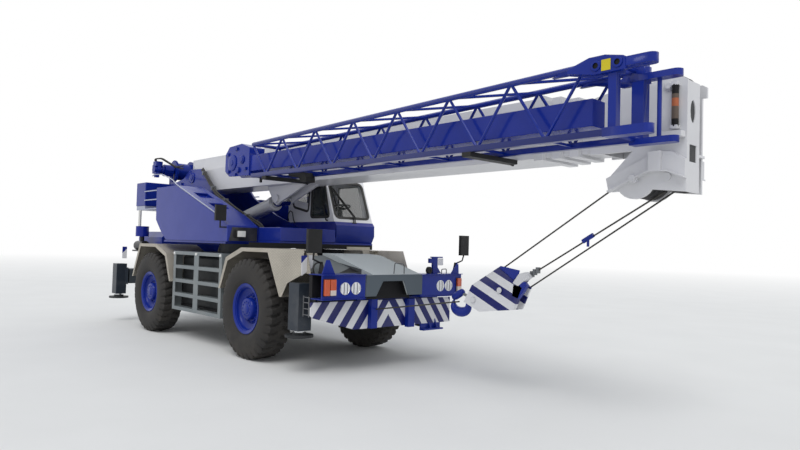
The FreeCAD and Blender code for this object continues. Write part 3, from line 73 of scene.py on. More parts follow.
class Wire:
    """An output socket of a node tree; arithmetic on it adds the Math node that works it out."""

    __add__ = __radd__ = arithmetic("ADD")
    __sub__, __rsub__ = arithmetic("SUBTRACT"), arithmetic("SUBTRACT", swapped=True)
    __mul__ = __rmul__ = arithmetic("MULTIPLY")
    __truediv__, __mod__ = arithmetic("DIVIDE"), arithmetic("FLOORED_MODULO")
    __gt__, __lt__ = arithmetic("GREATER_THAN"), arithmetic("LESS_THAN")

    def __init__(self, look, socket):
        self.look = look
        self.socket = socket

    def sum(self, operation, *values):
        return self.look.node("ShaderNodeMath", {"operation": operation}, dict(enumerate(values)))

    def __abs__(self):
        return self.sum("ABSOLUTE", self)

    def within(self, low, high):
        """0 below low, 1 above high, straight between them."""
        ends = {0: self, 1: low, 2: high, 3: 0.0, 4: 1.0}
        return self.look.node("ShaderNodeMapRange", {"clamp": True}, ends)


class Graph:
    """A node tree; node() adds a node to it and gives back one of its outputs."""

    def __init__(self, tree):
        self.tree = tree

    def feed(self, socket, value):
        if isinstance(value, Wire):
            self.tree.links.new(value.socket, socket)
        elif socket.type == "RGBA" and len(value) == 3:
            socket.default_value = (*value, 1)
        else:
            socket.default_value = value

    def node(self, kind, settings=(), values=(), output=0):
        made = self.tree.nodes.new(kind)
        for name, value in dict(settings).items():
            setattr(made, name, value)
        for name, value in dict(values).items():
            self.feed(made.inputs[name], value)
        return Wire(self, made.outputs[output])


class Look(Graph):
    """One material: its shader, the nodes that feed it, and the name of its slot."""

    def __init__(self, name, slot=None, **fixed):
        self.slot = slot or name
        self.material = bpy.data.materials.new(name)
        self.material.use_nodes = True
        super().__init__(self.material.node_tree)
        self.shader = self.tree.nodes["Principled BSDF"]
        self.set(**fixed)

    def set(self, **values):
        """Feeds the shader's own sockets; Base_Color stands for Base Color."""
        for name, value in values.items():
            self.feed(self.shader.inputs[name.replace("_", " ")], value)

    def at(self, axis=None):
        """Place on the object in metres, or one coordinate of it."""
        place = self.node("ShaderNodeTexCoord", output="Object")
        if axis is None:
            return place
        return self.node("ShaderNodeSeparateXYZ", (), {0: place}, output="XYZ".index(axis))

    def mottle(self, scale, detail=3.0, rough=0.5):
        """Soft random value about 0.5, in blotches of 1 / scale metres."""
        values = {"Vector": self.at(), "Scale": scale, "Detail": detail, "Roughness": rough}
        return self.node("ShaderNodeTexNoise", (), values)

    def mix(self, below, above, share):
        return self.node("ShaderNodeMix", {"data_type": "RGBA"}, {0: share, 6: below, 7: above}, output=2)

    def clouds(self, below, above, *mottle):
        """Two colours in each other, in the blotches of mottle()."""
        return self.mix(below, above, self.mottle(*mottle))

    def bump(self, height, depth):
        values = {"Height": height, "Distance": depth, "Strength": 1.0}
        self.set(Normal=self.node("ShaderNodeBump", (), values))


world = bpy.data.worlds.new("studio")
world.use_nodes = True
scene.world = world
sky = Graph(world.node_tree)
soft_sky = sky.node("ShaderNodeBackground", (), {"Color": (0.93, 0.96, 1.0, 1), "Strength": 0.72})
white = sky.node("ShaderNodeBackground", (), {"Color": (1, 1, 1, 1), "Strength": 1.0})
camera_ray, glossy_ray, transmission_ray = (sky.node("ShaderNodeLightPath", output="Is %s Ray" % kind)
                                            for kind in ("Camera", "Glossy", "Transmission"))
seen = camera_ray.sum("MAXIMUM", camera_ray, glossy_ray.sum("MAXIMUM", glossy_ray, transmission_ray))
shown_sky = sky.node("ShaderNodeMixShader", (), {0: seen, 1: soft_sky, 2: white})
sky.tree.links.new(shown_sky.socket, sky.tree.nodes["World Output"].inputs["Surface"])

lamp = bpy.data.lights.new("broad_lamp", "SUN")
lamp.energy = 1.25
lamp.angle = math.radians(35)
broad_lamp = bpy.data.objects.new("broad_lamp", lamp)
broad_lamp.rotation_euler = Vector((0.55, -0.75, 1.25)).to_track_quat("Z", "Y").to_euler()
scene.collection.objects.link(broad_lamp)


def full_turn(steps):
    """Angles evenly spread over one round, in radians."""
    return np.linspace(0, 2 * np.pi, steps, endpoint=False)


FLOOR_REACH = 160.0
FLOOR_CENTRE_X = 2
FLOOR_SIDES = 96
FADE_FROM, FADE_TO = 16.0, 60.0
turn = full_turn(FLOOR_SIDES)
floor_points = np.c_[FLOOR_REACH * np.cos(turn) + FLOOR_CENTRE_X, FLOOR_REACH * np.sin(turn), 0 * turn]
floor_mesh = bpy.data.meshes.new("studio_floor")
floor_mesh.from_pydata(floor_points.tolist(), [], [list(range(FLOOR_SIDES))])
studio_floor = bpy.data.objects.new("studio_floor", floor_mesh)
scene.collection.objects.link(studio_floor)
pale_floor = Look("pale_floor", Roughness=0.85, Specular_IOR_Level=0.2)
pale_floor.set(Base_Color=pale_floor.clouds((0.72, 0.72, 0.71), (0.78, 0.78, 0.77), 0.7))
glow = pale_floor.node("ShaderNodeEmission", (), {"Color": (1, 1, 1), "Strength": 1.0})
away = pale_floor.node("ShaderNodeVectorMath", {"operation": "LENGTH"}, {0: pale_floor.at()}, output="Value")
lit_floor = Wire(pale_floor, pale_floor.shader.outputs[0])
faded = {0: away.within(FADE_FROM, FADE_TO), 1: lit_floor, 2: glow}
shown_floor = pale_floor.node("ShaderNodeMixShader", (), faded)
pale_floor.tree.links.new(shown_floor.socket, pale_floor.tree.nodes["Material Output"].inputs["Surface"])
floor_mesh.materials.append(pale_floor.material)


# Tyres. Wide off-road tyres with a bulged side wall and two rows of heavy lugs whose grooves
# run in from each shoulder; moulded rubber, greyed by dust.
def grid_faces(rows, columns, round_rows=False, round_columns=False):
    """Quads between neighbouring points of a grid, closed along either way where asked."""
    r = np.arange(rows if round_rows else rows - 1)[:, None]
    c = np.arange(columns if round_columns else columns - 1)[None, :]
    r_next, c_next = (r + 1) % rows, (c + 1) % columns
    corners = (r * columns + c, r * columns + c_next, r_next * columns + c_next, r_next * columns + c)
    return np.stack(corners, -1).reshape(-1, 4).tolist()


def piece(name, part, look, body, stands_for=(), edge=0.0, crease=35, flat_map=False):
    """Makes the mesh and its object: doubles merged, faces outwards, edges sharp past the crease angle
    and rounded by edge metres, riding on its body."""
    mesh = bpy.data.meshes.new(name)
    mesh.from_pydata(np.asarray(part[0], float).tolist(), [], part[1])
    return dress(mesh, name, look, body, stands_for, edge, crease, flat_map)


def dress(mesh, name, look, body, stands_for, edge, crease, flat_map):
    """The second half of piece(), for a mesh that is there already."""
    shell = bmesh.new()
    shell.from_mesh(mesh)
    bmesh.ops.remove_doubles(shell, verts=shell.verts, dist=1e-6)
    bmesh.ops.recalc_face_normals(shell, faces=shell.faces)
    shell.to_mesh(mesh)
    shell.free()
    mesh.polygons.foreach_set("use_smooth", np.ones(len(mesh.polygons), bool))
    mesh.set_sharp_from_angle(angle=math.radians(crease))
    if flat_map:
        lay_flat(mesh)
    mesh.materials.clear()
    mesh.materials.append(look.material)
    made = bpy.data.objects.new(name, mesh)
    scene.collection.objects.link(made)
    if edge:
        rounding = made.modifiers.new("edges", "BEVEL")
        rounding.width = edge
        rounding.segments = 2
        rounding.limit_method = "ANGLE"
        rounding.angle_limit = math.radians(30)
        rounding.harden_normals = True
    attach(made, body)
    if stands_for:
        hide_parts(*([stands_for] if isinstance(stands_for, str) else stands_for))
    return made


TYRE_R = 0.745
TYRE_HALF_W = 0.215
WHEEL_Y = 1.085
AXLE_X = {"front": 1.95, "rear": -1.70}
WHEELS = [(end + "_" + side, AXLE_X[end], WHEEL_Y * sign, sign)
          for end in ("front", "rear") for side, sign in (("left", 1), ("right", -1))]
LUGS = 34
STEPS_PER_LUG = 8
GROOVE_DEPTH = 0.03
GROOVE_HALF_SHARE = 0.17
GROOVE_SLANT = 0.45
MIDDLE_RIB_HALF_W = .03
SHOULDER_R = .66
CROWN_HALF_W, CROWN_DROP = .158, 0.006
BEAD_R, BEAD_Y = 0.336, 0.165


def tread_and_walls():
    """Radius(turn, s) of a tyre: the cross-section's own radius, less the groove's depth where the turn
    falls in a groove that slants in from each shoulder; also s, and the turns as a column."""
    wall_y = np.array([-.165, -.176, -.196, -.207, -.2135, -.215, -.213, -.205, -.196, -.186, -.17])
    wall_r = np.array([.338, .386, .412, .45, .50, .55, .605, .648, .682, .705, .738])
    crown = np.linspace(-CROWN_HALF_W, CROWN_HALF_W, 17)
    s = np.r_[wall_y, crown, -wall_y[::-1]]
    r = np.r_[wall_r, TYRE_R - CROWN_DROP * (crown / CROWN_HALF_W) ** 2, wall_r[::-1]][None, :]
    around = LUGS * STEPS_PER_LUG
    turn = np.arange(around)[:, None] / around * 2 * np.pi
    half = np.abs(s)[None, :]
    slant = GROOVE_SLANT * (TYRE_HALF_W - half) / TYRE_HALF_W
    other_row = np.where(s > 0, 0.5, 0.0)[None, :]
    phase = (turn * LUGS / (2 * np.pi) + slant + other_row) % 1.0
    groove = np.clip(1 - np.abs(phase - 0.5) / GROOVE_HALF_SHARE, 0, 1) > 0.05
    cut = np.where(half > MIDDLE_RIB_HALF_W, 1.0, 0.0) * np.where(r > SHOULDER_R, 1.0, 0.0)
    return s, r - GROOVE_DEPTH * groove * cut, turn


def wheel_sides(part, x, y, sign):
    """A part made about the origin with its outer face towards +Y, put on its hub."""
    points, faces = part
    return np.asarray(points) * (1, sign, 1) + (x, y, TYRE_R), faces


across, radius, turn = tread_and_walls()
tyre_y = np.broadcast_to(across, radius.shape)
tyre_points = np.stack([radius * np.sin(turn), tyre_y, radius * np.cos(turn)], -1)
bead_turn = turn[:, 0]
bead_near = np.stack([BEAD_R * np.sin(bead_turn), 0 * bead_turn - BEAD_Y, BEAD_R * np.cos(bead_turn)], -1)
bead_far = bead_near * (1, -1, 1)
tyre_points = np.concatenate([tyre_points, bead_far[:, None], bead_near[:, None]], 1)
tyre_form = (tyre_points.reshape(-1, 3), grid_faces(len(turn), tyre_points.shape[1], True, True))

rubber = Look("tyre_rubber", Specular_IOR_Level=0.35)
dust = rubber.mottle(3.0, 6.0, 0.65)
low_dust = (0.75 - rubber.at("Z")).within(0.25, 0.9) * dust.within(0.42, 0.62)
dusty = dust.within(0.35, 0.8) * 0.35 + low_dust * 0.35
rubber.set(Base_Color=rubber.mix((0.017, 0.016, 0.016), (0.085, 0.075, 0.063), dusty),
           Roughness=dust * 0.25 + 0.58)
rubber.bump(rubber.mottle(90.0, 4.0), 0.0015)
for corner, x, y, sign in WHEELS:
    piece("road_tyre_" + corner, wheel_sides(tyre_form, x, y, sign), rubber, "wheel_" + corner,
          "tyre_" + corner, crease=50)


# Wheel rims. Pressed steel rims with a deep dish, a domed planetary hub and a ring of nuts; sprayed
# blue with the rest of the wheel, held on by twenty nuts round the hub.
ROAD_DUST = (0.36, 0.34, 0.31)


def joined(*parts):
    """Several (points, faces) pairs as one."""
    points, faces, start = [], [], 0
    for part_points, part_faces in parts:
        points.append(np.asarray(part_points, float).reshape(-1, 3))
        faces += [[corner + start for corner in face] for face in part_faces]
        start += len(points[-1])
    return np.concatenate(points), faces


def ring_of(part, count):
    """Copies of a part, spread evenly round the Y axis."""
    points = np.asarray(part[0], float)
    angles = np.arange(count) * 2 * np.pi / count
    spins = (np.array(Matrix.Rotation(angle, 3, Vector((0, 1, 0)))) for angle in angles)
    return joined(*((points @ spin.T, part[1]) for spin in spins))


def lathe(profile, centre=(0, 0, 0), axis="Y", steps=64):
    """Point(turn, s) = centre + axis * along(s) + radius(s) * (sin turn, cos turn) across the axis."""
    profile = np.asarray(profile, float)
    turn = full_turn(steps)[:, None]
    along = np.broadcast_to(profile[:, 0], (steps, len(profile)))
    one, two = profile[:, 1] * np.sin(turn), profile[:, 1] * np.cos(turn)
    places = {"X": (along, one, two), "Y": (one, along, two), "Z": (one, two, along)}[axis]
    return np.stack(places, -1).reshape(-1, 3) + centre, grid_faces(steps, len(profile), round_rows=True)


def paint(name, colour, slot=None, rough=0.3, coat=0.16, dirt=0.25, dust=ROAD_DUST, ripple=0.0006):
    """Sprayed enamel: a slightly uneven colour, dust in soft blotches and specks, and a faint ripple."""
    look = Look(name, slot, Coat_Weight=coat, Coat_Roughness=0.07, Specular_IOR_Level=0.17)
    cloud = look.mottle(1.7, 5.0, 0.6)
    specks = look.mottle(38.0, 4.0, 0.7).within(0.6, 0.78)
    film = cloud.within(0.45, 0.8) * dirt + specks * (dirt * 0.5)
    shade = look.mix([part * 0.85 for part in colour], [min(1.0, part * 1.12) for part in colour], cloud)
    look.set(Base_Color=look.mix(shade, dust, film), Roughness=film * 0.5 + rough)
    look.bump(look.mottle(9.0, 2.0), ripple)
    return look


blue_paint = paint("blue_paint", (0.004, 0.020, 0.235), dirt=0.03)
NUTS, NUT_RING_R, DISC_FACE = 20, 0.197, 0.086
BOLTS, BOLT_RING_R, HUB_FACE = 12, 0.106, 0.165
rim_line = [(-.118, 0), (-.118, .165), (.02, .165), (.02, .30), (-.17, .317), (-.182, .34), (-.182, .372),
            (-.172, .372), (-.168, .336), (-.15, .334), (.15, .334), (.168, .336), (.172, .374), (.181, .376),
            (.187, .368), (.184, .352), (.176, .342), (.172, .330), (.158, .327), (.154, .318), (.11, .314),
            (.094, .300), (.078, .262), (.074, .232), (DISC_FACE - .004, .226), (DISC_FACE, .222),
            (DISC_FACE, .168), (.10, .164), (.146, .158), (.160, .148), (.164, .136), (.166, .078),
            (.172, .074), (.176, .066), (.177, 0)]
nut_line = [(0, 0), (0, .017), (.017, .017), (.020, .013), (.020, .009), (.030, .008), (.031, 0)]
bolt_line = [(0, 0), (0, .010), (.009, .010), (.010, .008), (.010, 0)]
rim_form = joined(lathe(rim_line, steps=72),
                  ring_of(lathe(nut_line, (0, DISC_FACE, NUT_RING_R), steps=6), NUTS),
                  ring_of(lathe(bolt_line, (0, HUB_FACE, BOLT_RING_R), steps=6), BOLTS))
for corner, x, y, sign in WHEELS:
    piece("wheel_rim_" + corner, wheel_sides(rim_form, x, y, sign), blue_paint, "wheel_" + corner,
          "rim_" + corner, crease=40)


# Chassis. A welded box frame with its axles, knuckles, outrigger boxes and slewing ring; brushed and
# sprayed a satin blue-grey, gone dusty and oily underneath.
UNDER_DUST = (0.22, 0.19, 0.16)


def finish(look, *names):
    """Gives CAD nodes that keep their own mesh a finer material."""
    for name in names:
        for part in nodes[name].material_slots:
            part.material = look.material


chassis_grey = paint("chassis_grey", (0.065, 0.076, 0.088), rough=0.5, coat=0.1, dirt=0.4, dust=UNDER_DUST)
finish(chassis_grey, "carrier_frame", "axles", "outrigger_boxes", "slew_ring",
       *("knuckle_" + corner for corner, x, y, sign in WHEELS))
tank_grey = paint("tank_grey", (0.018, 0.021, 0.024), rough=0.5, coat=0.05, dirt=0.15, dust=UNDER_DUST)
finish(tank_grey, "side_tanks")


# Outriggers. Sliding box beams with a jack housing on each end, welded up from plate and sprayed
# dark slate; the jack's rod is hard chrome over a round cast foot.
def from_cad(name, look, body, source, edge=0.006, crease=35, flat_map=False, shift=None):
    """A copy of a node's own solid with the loose triangles joined, the flat faces made whole and the edges
    rounded; shift, where given, takes the copy's points as rows x, y, z and gives their new places."""
    shell = bmesh.new()
    shell.from_mesh(nodes[source].data)
    mesh = bpy.data.meshes.new(name)
    if shift:
        shell.to_mesh(mesh)
        points = np.empty(len(mesh.vertices) * 3)
        mesh.vertices.foreach_get("co", points)
        mesh.vertices.foreach_set("co", shift(points.reshape(-1, 3)).ravel())
        shell.clear()
        shell.from_mesh(mesh)
    bmesh.ops.remove_doubles(shell, verts=shell.verts, dist=1e-5)
    if shift:
        bmesh.ops.dissolve_degenerate(shell, dist=1e-5, edges=shell.edges)
    bmesh.ops.dissolve_limit(shell, angle_limit=math.radians(1), verts=shell.verts, edges=shell.edges)
    shell.to_mesh(mesh)
    shell.free()
    return dress(mesh, name, look, body, source, edge, crease, flat_map)


IRON, CHROME = (0.03, 0.032, 0.035), (0.62, 0.63, 0.65)
slate = paint("slate_paint", (0.026, 0.034, 0.047), "grey_paint", rough=0.35, dirt=0.2)
foot_iron = paint("foot_iron", IRON, rough=0.5, coat=0.1, dirt=0.4)
chromed = foot_iron.at("Z").within(0.553, 0.556)
worn_bright = foot_iron.mottle(12.0).within(0.3, 0.8) * 0.2
foot_iron.set(Metallic=chromed, Roughness=worn_bright + (1 - chromed) * 0.35 + 0.12,
              Base_Color=foot_iron.mix(IRON, CHROME, chromed))
for corner, x, y, sign in WHEELS:
    from_cad("jack_housing_" + corner, slate, "beam_" + corner, "outrigger_beam_" + corner, 0.008)
    finish(foot_iron, "jack_" + corner)


# Fenders. Folded aluminium tread plate, rolled with crossed raised bars, left bare and dulled by
# weather; riveted along its edges.
TREAD_PITCH = 0.040
FENDER_FOOT_X, FENDER_TOP_Z, FENDER_LEAN = 2.62, 1.65, 0.42
INNER_PLATE_Y, INNER_PLATE_OUT = -0.604, 0.596


def tread_plate(name, colour):
    """Crossed bars: in each cell of a grid turned 45 degrees a lens lies along one way or the other."""
    look = Look(name, "tread_plate", Specular_IOR_Level=0.4)
    place = look.node("ShaderNodeUVMap", {"uv_map": "flat"})
    u, v = (look.node("ShaderNodeSeparateXYZ", (), {0: place}, output=way) / TREAD_PITCH for way in (0, 1))
    a, b = u + v, u - v
    across, along = (a % 1.0) - 0.5, (b % 1.0) - 0.5
    cell = (a - (a % 1.0)) + (b - (b % 1.0))
    turned_cell = cell.sum("PINGPONG", cell, 1.0) > 0.5
    longer = across * turned_cell + along * (1 - turned_cell)
    shorter = along * turned_cell + across * (1 - turned_cell)
    lens = (1 - longer * longer * 5.2 - shorter * shorter * 60.0).within(0.0, 0.35)
    cloud = look.mottle(2.2, 5.0, 0.6)
    dull, bare, bright = ([min(1.0, part * share) for part in colour] for share in (0.62, 0.86, 1.5))
    base = look.mix(dull, bare, cloud.within(0.35, 0.65))
    look.set(Base_Color=look.mix(base, bright, lens * 0.85), Metallic=0.25, Roughness=cloud * 0.25 + 0.38)
    look.bump(lens, 0.0016)
    return look


def lay_flat(mesh):
    """UV in metres on each face's own plane, so that the bars keep their size: one way level, the other up
    the slope."""
    normals = np.empty(len(mesh.polygons) * 3)
    mesh.polygons.foreach_get("normal", normals)
    normals = normals.reshape(-1, 3)
    counts = np.empty(len(mesh.polygons), int)
    mesh.polygons.foreach_get("loop_total", counts)
    corners = np.empty(len(mesh.loops), int)
    mesh.loops.foreach_get("vertex_index", corners)
    points = np.empty(len(mesh.vertices) * 3)
    mesh.vertices.foreach_get("co", points)
    points = points.reshape(-1, 3)[corners]
    facing = np.repeat(normals, counts, axis=0)
    side_on = np.abs(facing[:, 1]) > 0.7
    first = np.where(side_on[:, None], (1, 0, 0), np.c_[facing[:, 2], 0 * facing[:, 0], -facing[:, 0]])
    second = np.where(side_on[:, None], (0, 0, 1), (0, 1, 0))
    flat = np.c_[(points * first).sum(1), (points * second).sum(1)]
    mesh.uv_layers.new(name="flat").data.foreach_set("uv", flat.ravel())


def fender_ends(points):
    """Ends the left fender on a line that leans back from its foot, before its tyre's arch, and takes the
    right fender's inner plate out to stand behind the outer board."""
    left = points[:, 1] > 0.6
    inner = (abs(points[:, 1] - INNER_PLATE_Y) < 0.006) & (points[:, 0] > 2.545)
    limit = FENDER_FOOT_X + FENDER_LEAN * (FENDER_TOP_Z - points[:, 2])
    ends = np.where(left, np.minimum(points[:, 0], limit), points[:, 0])
    return np.c_[ends, points[:, 1] - INNER_PLATE_OUT * inner, points[:, 2]]


bare_tread = tread_plate("tread_plate", (0.50, 0.46, 0.39))
from_cad("fender_plates", bare_tread, "carrier", "fenders", 0.0025, flat_map=True, shift=fender_ends)


# Side steps. A welded frame of folded steel with two rows of openings, a tread in each, sprayed
# light grey; a marker lamp stands on each upper corner and one between them.
def moved(part, *steps):
    """Copies of a part, one for each step (x, y, z)."""
    points = np.asarray(part[0], float)
    return joined(*((points + np.array(step), part[1]) for step in steps))


def other_side(part):
    """The part's mirror image across the vehicle."""
    return np.asarray(part[0], float) * (1, -1, 1), [face[::-1] for face in part[1]]


def both_sides(part):
    """The part and its mirror image."""
    return joined(part, other_side(part))


def plate(outline, axis, low, high):
    """Outline in the plane square to an axis, carried from low to high along it."""
    flat = np.asarray(outline, float)
    count = len(flat)
    order = {"X": (2, 0, 1), "Y": (0, 2, 1), "Z": (0, 1, 2)}[axis]
    points = np.concatenate([np.c_[flat, np.full(count, level)][:, order] for level in (low, high)])
    ring = np.arange(count)
    walls = np.c_[ring, (ring + 1) % count, (ring + 1) % count + count, ring + count].tolist()
    return points, [ring[::-1].tolist(), (ring + count).tolist()] + walls


def block(low, high):
    """Six-sided block between two corners."""
    foot = [(low[0], low[1]), (high[0], low[1]), (high[0], high[1]), (low[0], high[1])]
    return plate(foot, "Z", low[2], high[2])


step_grey = paint("step_grey", (0.18, 0.205, 0.215), "grey_paint", rough=0.42, coat=0.2, dirt=0.3)
from_cad("climbing_steps", step_grey, "carrier", "side_steps", 0.004)
lens_white = Look("marker_lens", "lamp_glass", Roughness=0.15, Coat_Weight=0.6)
lens_white.set(Base_Color=lens_white.clouds((0.62, 0.62, 0.60), (0.82, 0.82, 0.80), 60.0))
button = lathe([(0, 0), (0, .026), (.010, .026), (.020, .018), (.024, 0)], steps=24)
markers = moved(button, *((x, 1.20, 1.50) for x in (-.745, .995, .125)))
piece("marker_lamps", both_sides(markers), lens_white, "carrier")


# Engine hood and air cleaner. A folded sheet hood with louvres over the plain engine, sprayed blue,
# and beside it the air cleaner's tub, blue over a black foot, with a bare stack.
STACK_FROM_Z, TUB_FROM_Z = 2.0, 1.775
TUB_BLUE = (0.006, 0.017, 0.235)
from_cad("hood_panels", blue_paint, "carrier", "engine_hood", 0.008)
cast = paint("cast_iron", (0.10, 0.10, 0.10), rough=0.6, coat=0.0, dirt=0.35)
finish(cast, "engine_block")
cleaner_paint = paint("cleaner_paint", TUB_BLUE, "cast_metal", dirt=0.2)
silvered = cleaner_paint.at("Z").within(STACK_FROM_Z, STACK_FROM_Z + 0.003)
black_part = 1 - cleaner_paint.at("Z").within(TUB_FROM_Z, TUB_FROM_Z + 0.005)
tub_and_stack = cleaner_paint.mix(TUB_BLUE, (0.55, 0.55, 0.54), silvered)
cleaner_paint.set(Metallic=silvered * 0.8,
                  Base_Color=cleaner_paint.mix(tub_and_stack, (0.02, 0.02, 0.022), black_part))
from_cad("air_cleaner", cleaner_paint, "carrier", "exhaust")


# Nose. The sloping front deck and its grey cross wall with the tow recess, welded plate sprayed in
# non-slip pale grey, the wall painted darker and the recess near black as painted shade; a wing plate on its
# right painted darker as painted shade, a tread-plate wall painted lighter as painted light, and black skirts
# below it as painted shade.
DECK_LEFT_Y = 0.47
WALL_FROM_X = 3.895
STONE_DUST = (0.46, 0.45, 0.43)
deck_paint = paint("deck_paint", (0.33, 0.37, 0.385), rough=0.6, coat=0.0, dirt=0.3, dust=STONE_DUST,
                   ripple=0.002)
# Painted shade: the upright cross wall gets a darker grey than the deck top, and the tow recess is painted
# near black.
upright_wall_shade = deck_paint.at("X").within(WALL_FROM_X, WALL_FROM_X + .005)
tow_recess_shade = (deck_paint.at("X") < 3.875) * (deck_paint.at("Z") < 1.26) * (deck_paint.at("X") > 3.75)
grain = deck_paint.mix((0.35, 0.395, 0.41), (0.53, 0.56, 0.57), deck_paint.mottle(55.0, 4.0, 0.7))
deck_and_shaded_wall = deck_paint.mix(grain, (0.10, 0.122, 0.142), upright_wall_shade)
deck_paint.set(Base_Color=deck_paint.mix(deck_and_shaded_wall, (0.008, 0.008, 0.009), tow_recess_shade))
# Painted shade: a darker copy of the deck grey for the wing plate, standing for the shading of its tilted
# plane.
wing_shaded_paint = paint("wing_shaded_paint", (0.15, 0.165, 0.17), "deck_paint", rough=0.6, coat=0.0, dirt=0.3,
                   dust=(0.30, 0.29, 0.27), ripple=0.002)
# Painted shade: near black for sheets and blocks put in recesses, gaps, hole backs and under parts, where
# there is only shade.
shade_black = paint("shade_black", (0.010, 0.010, 0.012), "black_paint", rough=0.6, coat=0.0, dirt=0.2,
                     dust=(0.06, 0.055, 0.05))
# Painted light: a much lighter copy of the tread plate for the wall that stands in shade, so that it looks
# lit.
lit_tread_plate = tread_plate("lit_tread_plate", (1.0, 0.91, 0.79))
lit_tread_plate.set(Metallic=0.0)


def narrowed(points):
    """Brings the deck's left edge in."""
    return np.c_[points[:, 0], np.minimum(points[:, 1], DECK_LEFT_Y), points[:, 2]]


def sheet(corners, thickness):
    """A thin slab below corners given in space."""
    top = np.array(corners)
    faces = plate([(0, 0)] * len(corners), "Z", 0, 1)[1]
    return np.concatenate([top, top - (0, 0, thickness)]), faces


from_cad("nose_deck", deck_paint, "carrier", "front_deck", shift=narrowed)
wing = sheet([(3.62, -.36, 1.352), (2.75, -.44, 1.568), (2.75, -1.19, 1.545), (3.62, -1.19, 1.350)], .006)
piece("deck_wing", wing, wing_shaded_paint, "carrier", edge=0.002)
# Painted shadow: a black sheet on the deck where the step there lies in shadow.
deck_shadow_sheet = sheet([(3.606, -.80, 1.3575), (3.612, -.41, 1.3575), (3.38, -.44, 1.416)], .004)
piece("deck_recess_shadow", deck_shadow_sheet, shade_black, "carrier")
# Painted shade: a black block in the gap under the turntable, and black skirts low along both sides.
channel = block((.90, .28, 1.45), (2.25, .32, 1.653))
skirt = block((-.74, -1.052, .505), (1.00, -1.036, .60))
piece("deck_channel", joined(channel, both_sides(skirt)), shade_black, "carrier", edge=0.003)
wall_line = [(2.60, 1.648), (3.215, 1.658), (3.35, 1.340), (2.60, 1.340)]
piece("deck_tread_wall", plate(wall_line, "Y", .720, .726), lit_tread_plate, "carrier", edge=0.002, flat_map=True)


# Lamp housings. Folded steel boxes, open behind, sprayed blue and lined with black sheets as painted shade;
# twin round lamps behind chromed rings, and indicators screwed on at the outer ends.
HOUSING_BACK_X, HOUSING_FACE_X = 3.60, 3.905
SHEET = .012
LAMPS_Y, LAMP_Z = (-.933, -.752, .853, 1.030), 1.165
LENS_R, BOWL_R = .075, .073
RING_LINE = [(3.864, .066), (3.864, .080), (3.900, .0845), (3.9085, .081), (3.909, .076), (3.902, .072)]


def housing(inner, outer, foot, top):
    """Front plate, top lip, bottom lip and inner wall of one box, between two places across the vehicle."""
    low, high = sorted((inner, outer))
    wall = sorted((inner, inner + SHEET * (1 if outer > inner else -1)))
    return [block((HOUSING_FACE_X - .02, low, foot), (HOUSING_FACE_X, high, top)),
            block((HOUSING_BACK_X, low, top), (3.935, high + .002, top + .010)),
            block((3.66, low, foot - SHEET), (3.925, high, foot)),
            block((3.66, wall[0], foot), (3.89, wall[1], top))]


ledge = block((3.71, -.60, .990), (3.745, 1.28, 1.012))
housings = joined(*housing(-.590, -1.300, 1.036, 1.338), *housing(.445, 1.312, 1.020, 1.330), ledge)
piece("lamp_housings", housings, blue_paint, "carrier", "lamp_boxes", edge=0.003)
# Painted shade: black sheets inside the open housings and behind the tow recess, where there is only shade.
shade_linings = [block((HOUSING_BACK_X, -1.285, 1.044), (3.67, -.605, 1.33)),
           block((HOUSING_BACK_X, .46, 1.03), (3.67, 1.295, 1.32)),
           block((3.79, -.50, 1.0), (3.80, .32, 1.26))]
piece("housing_shade_sheets", joined(*shade_linings), shade_black, "carrier", edge=0.002)
chrome = Look("bright_ring", "lamp_glass", Metallic=1.0)
chrome.set(Base_Color=chrome.clouds((0.55, 0.56, 0.58), (0.82, 0.83, 0.85), 25.0),
           Roughness=chrome.mottle(40.0, 4.0) * 0.15 + 0.06)
lamp_glass = Look("lamp_glass", Roughness=0.04, Coat_Weight=0.5, Alpha=0.94)
flutes = (abs(((lamp_glass.at("Y") / 0.011) % 1.0) - 0.5) * 2).within(0.0, 1.0)
bars = (((lamp_glass.at("Y") + 3.01) / 0.054) % 1.0) < 0.24
fluted = lamp_glass.mix((0.62, 0.64, 0.68), (0.95, 0.96, 0.98), flutes)
lamp_glass.set(Base_Color=lamp_glass.mix(fluted, (0.10, 0.10, 0.13), bars))
lamp_glass.bump(flutes, 0.0015)
bowl_r = np.linspace(0, BOWL_R, 10)
bowl_line = np.c_[np.r_[3.872 + 4.5 * bowl_r ** 2, 3.866], np.r_[bowl_r, BOWL_R]]
lens_r = np.linspace(0, LENS_R, 9)
lens_line = np.c_[np.r_[3.9135 - 1.2 * lens_r ** 2, 3.9055 + 0 * lens_r], np.r_[lens_r, lens_r[::-1]]]
for name, line, look, steps, crease in (("lamp_rings", RING_LINE, chrome, 48, 50),
                                        ("lamp_bowls", bowl_line, chrome, 40, 50),
                                        ("lamp_lenses", lens_line, lamp_glass, 40, 60)):
    lamps = moved(lathe(line, axis="X", steps=steps), *((0, y, LAMP_Z) for y in LAMPS_Y))
    piece(name, lamps, look, "carrier", "headlamps", crease=crease)
amber = Look("indicator_lens", "lamp_glass", Roughness=0.12, Coat_Weight=0.7)
clear_corner = (amber.at("Y") > -1.19) * (amber.at("Z") < 1.150)
ribs = (abs(((amber.at("Z") / 0.012) % 1.0) - 0.5) * 2).within(0.2, 0.8)
ribbed = amber.mix((0.42, 0.045, 0.010), (0.66, 0.11, 0.02), ribs)
amber.set(Base_Color=amber.mix(ribbed, (0.62, 0.55, 0.50), clear_corner))
amber.bump(ribs, 0.001)
black_plastic = Look("black_plastic", Specular_IOR_Level=0.25)
black_plastic.set(Base_Color=black_plastic.clouds((0.007, 0.007, 0.008), (0.024, 0.024, 0.024), 4.0, 5.0),
                  Roughness=black_plastic.mottle(30.0) * 0.3 + 0.38)
black_plastic.bump(black_plastic.mottle(220.0, 2.0), 0.0006)
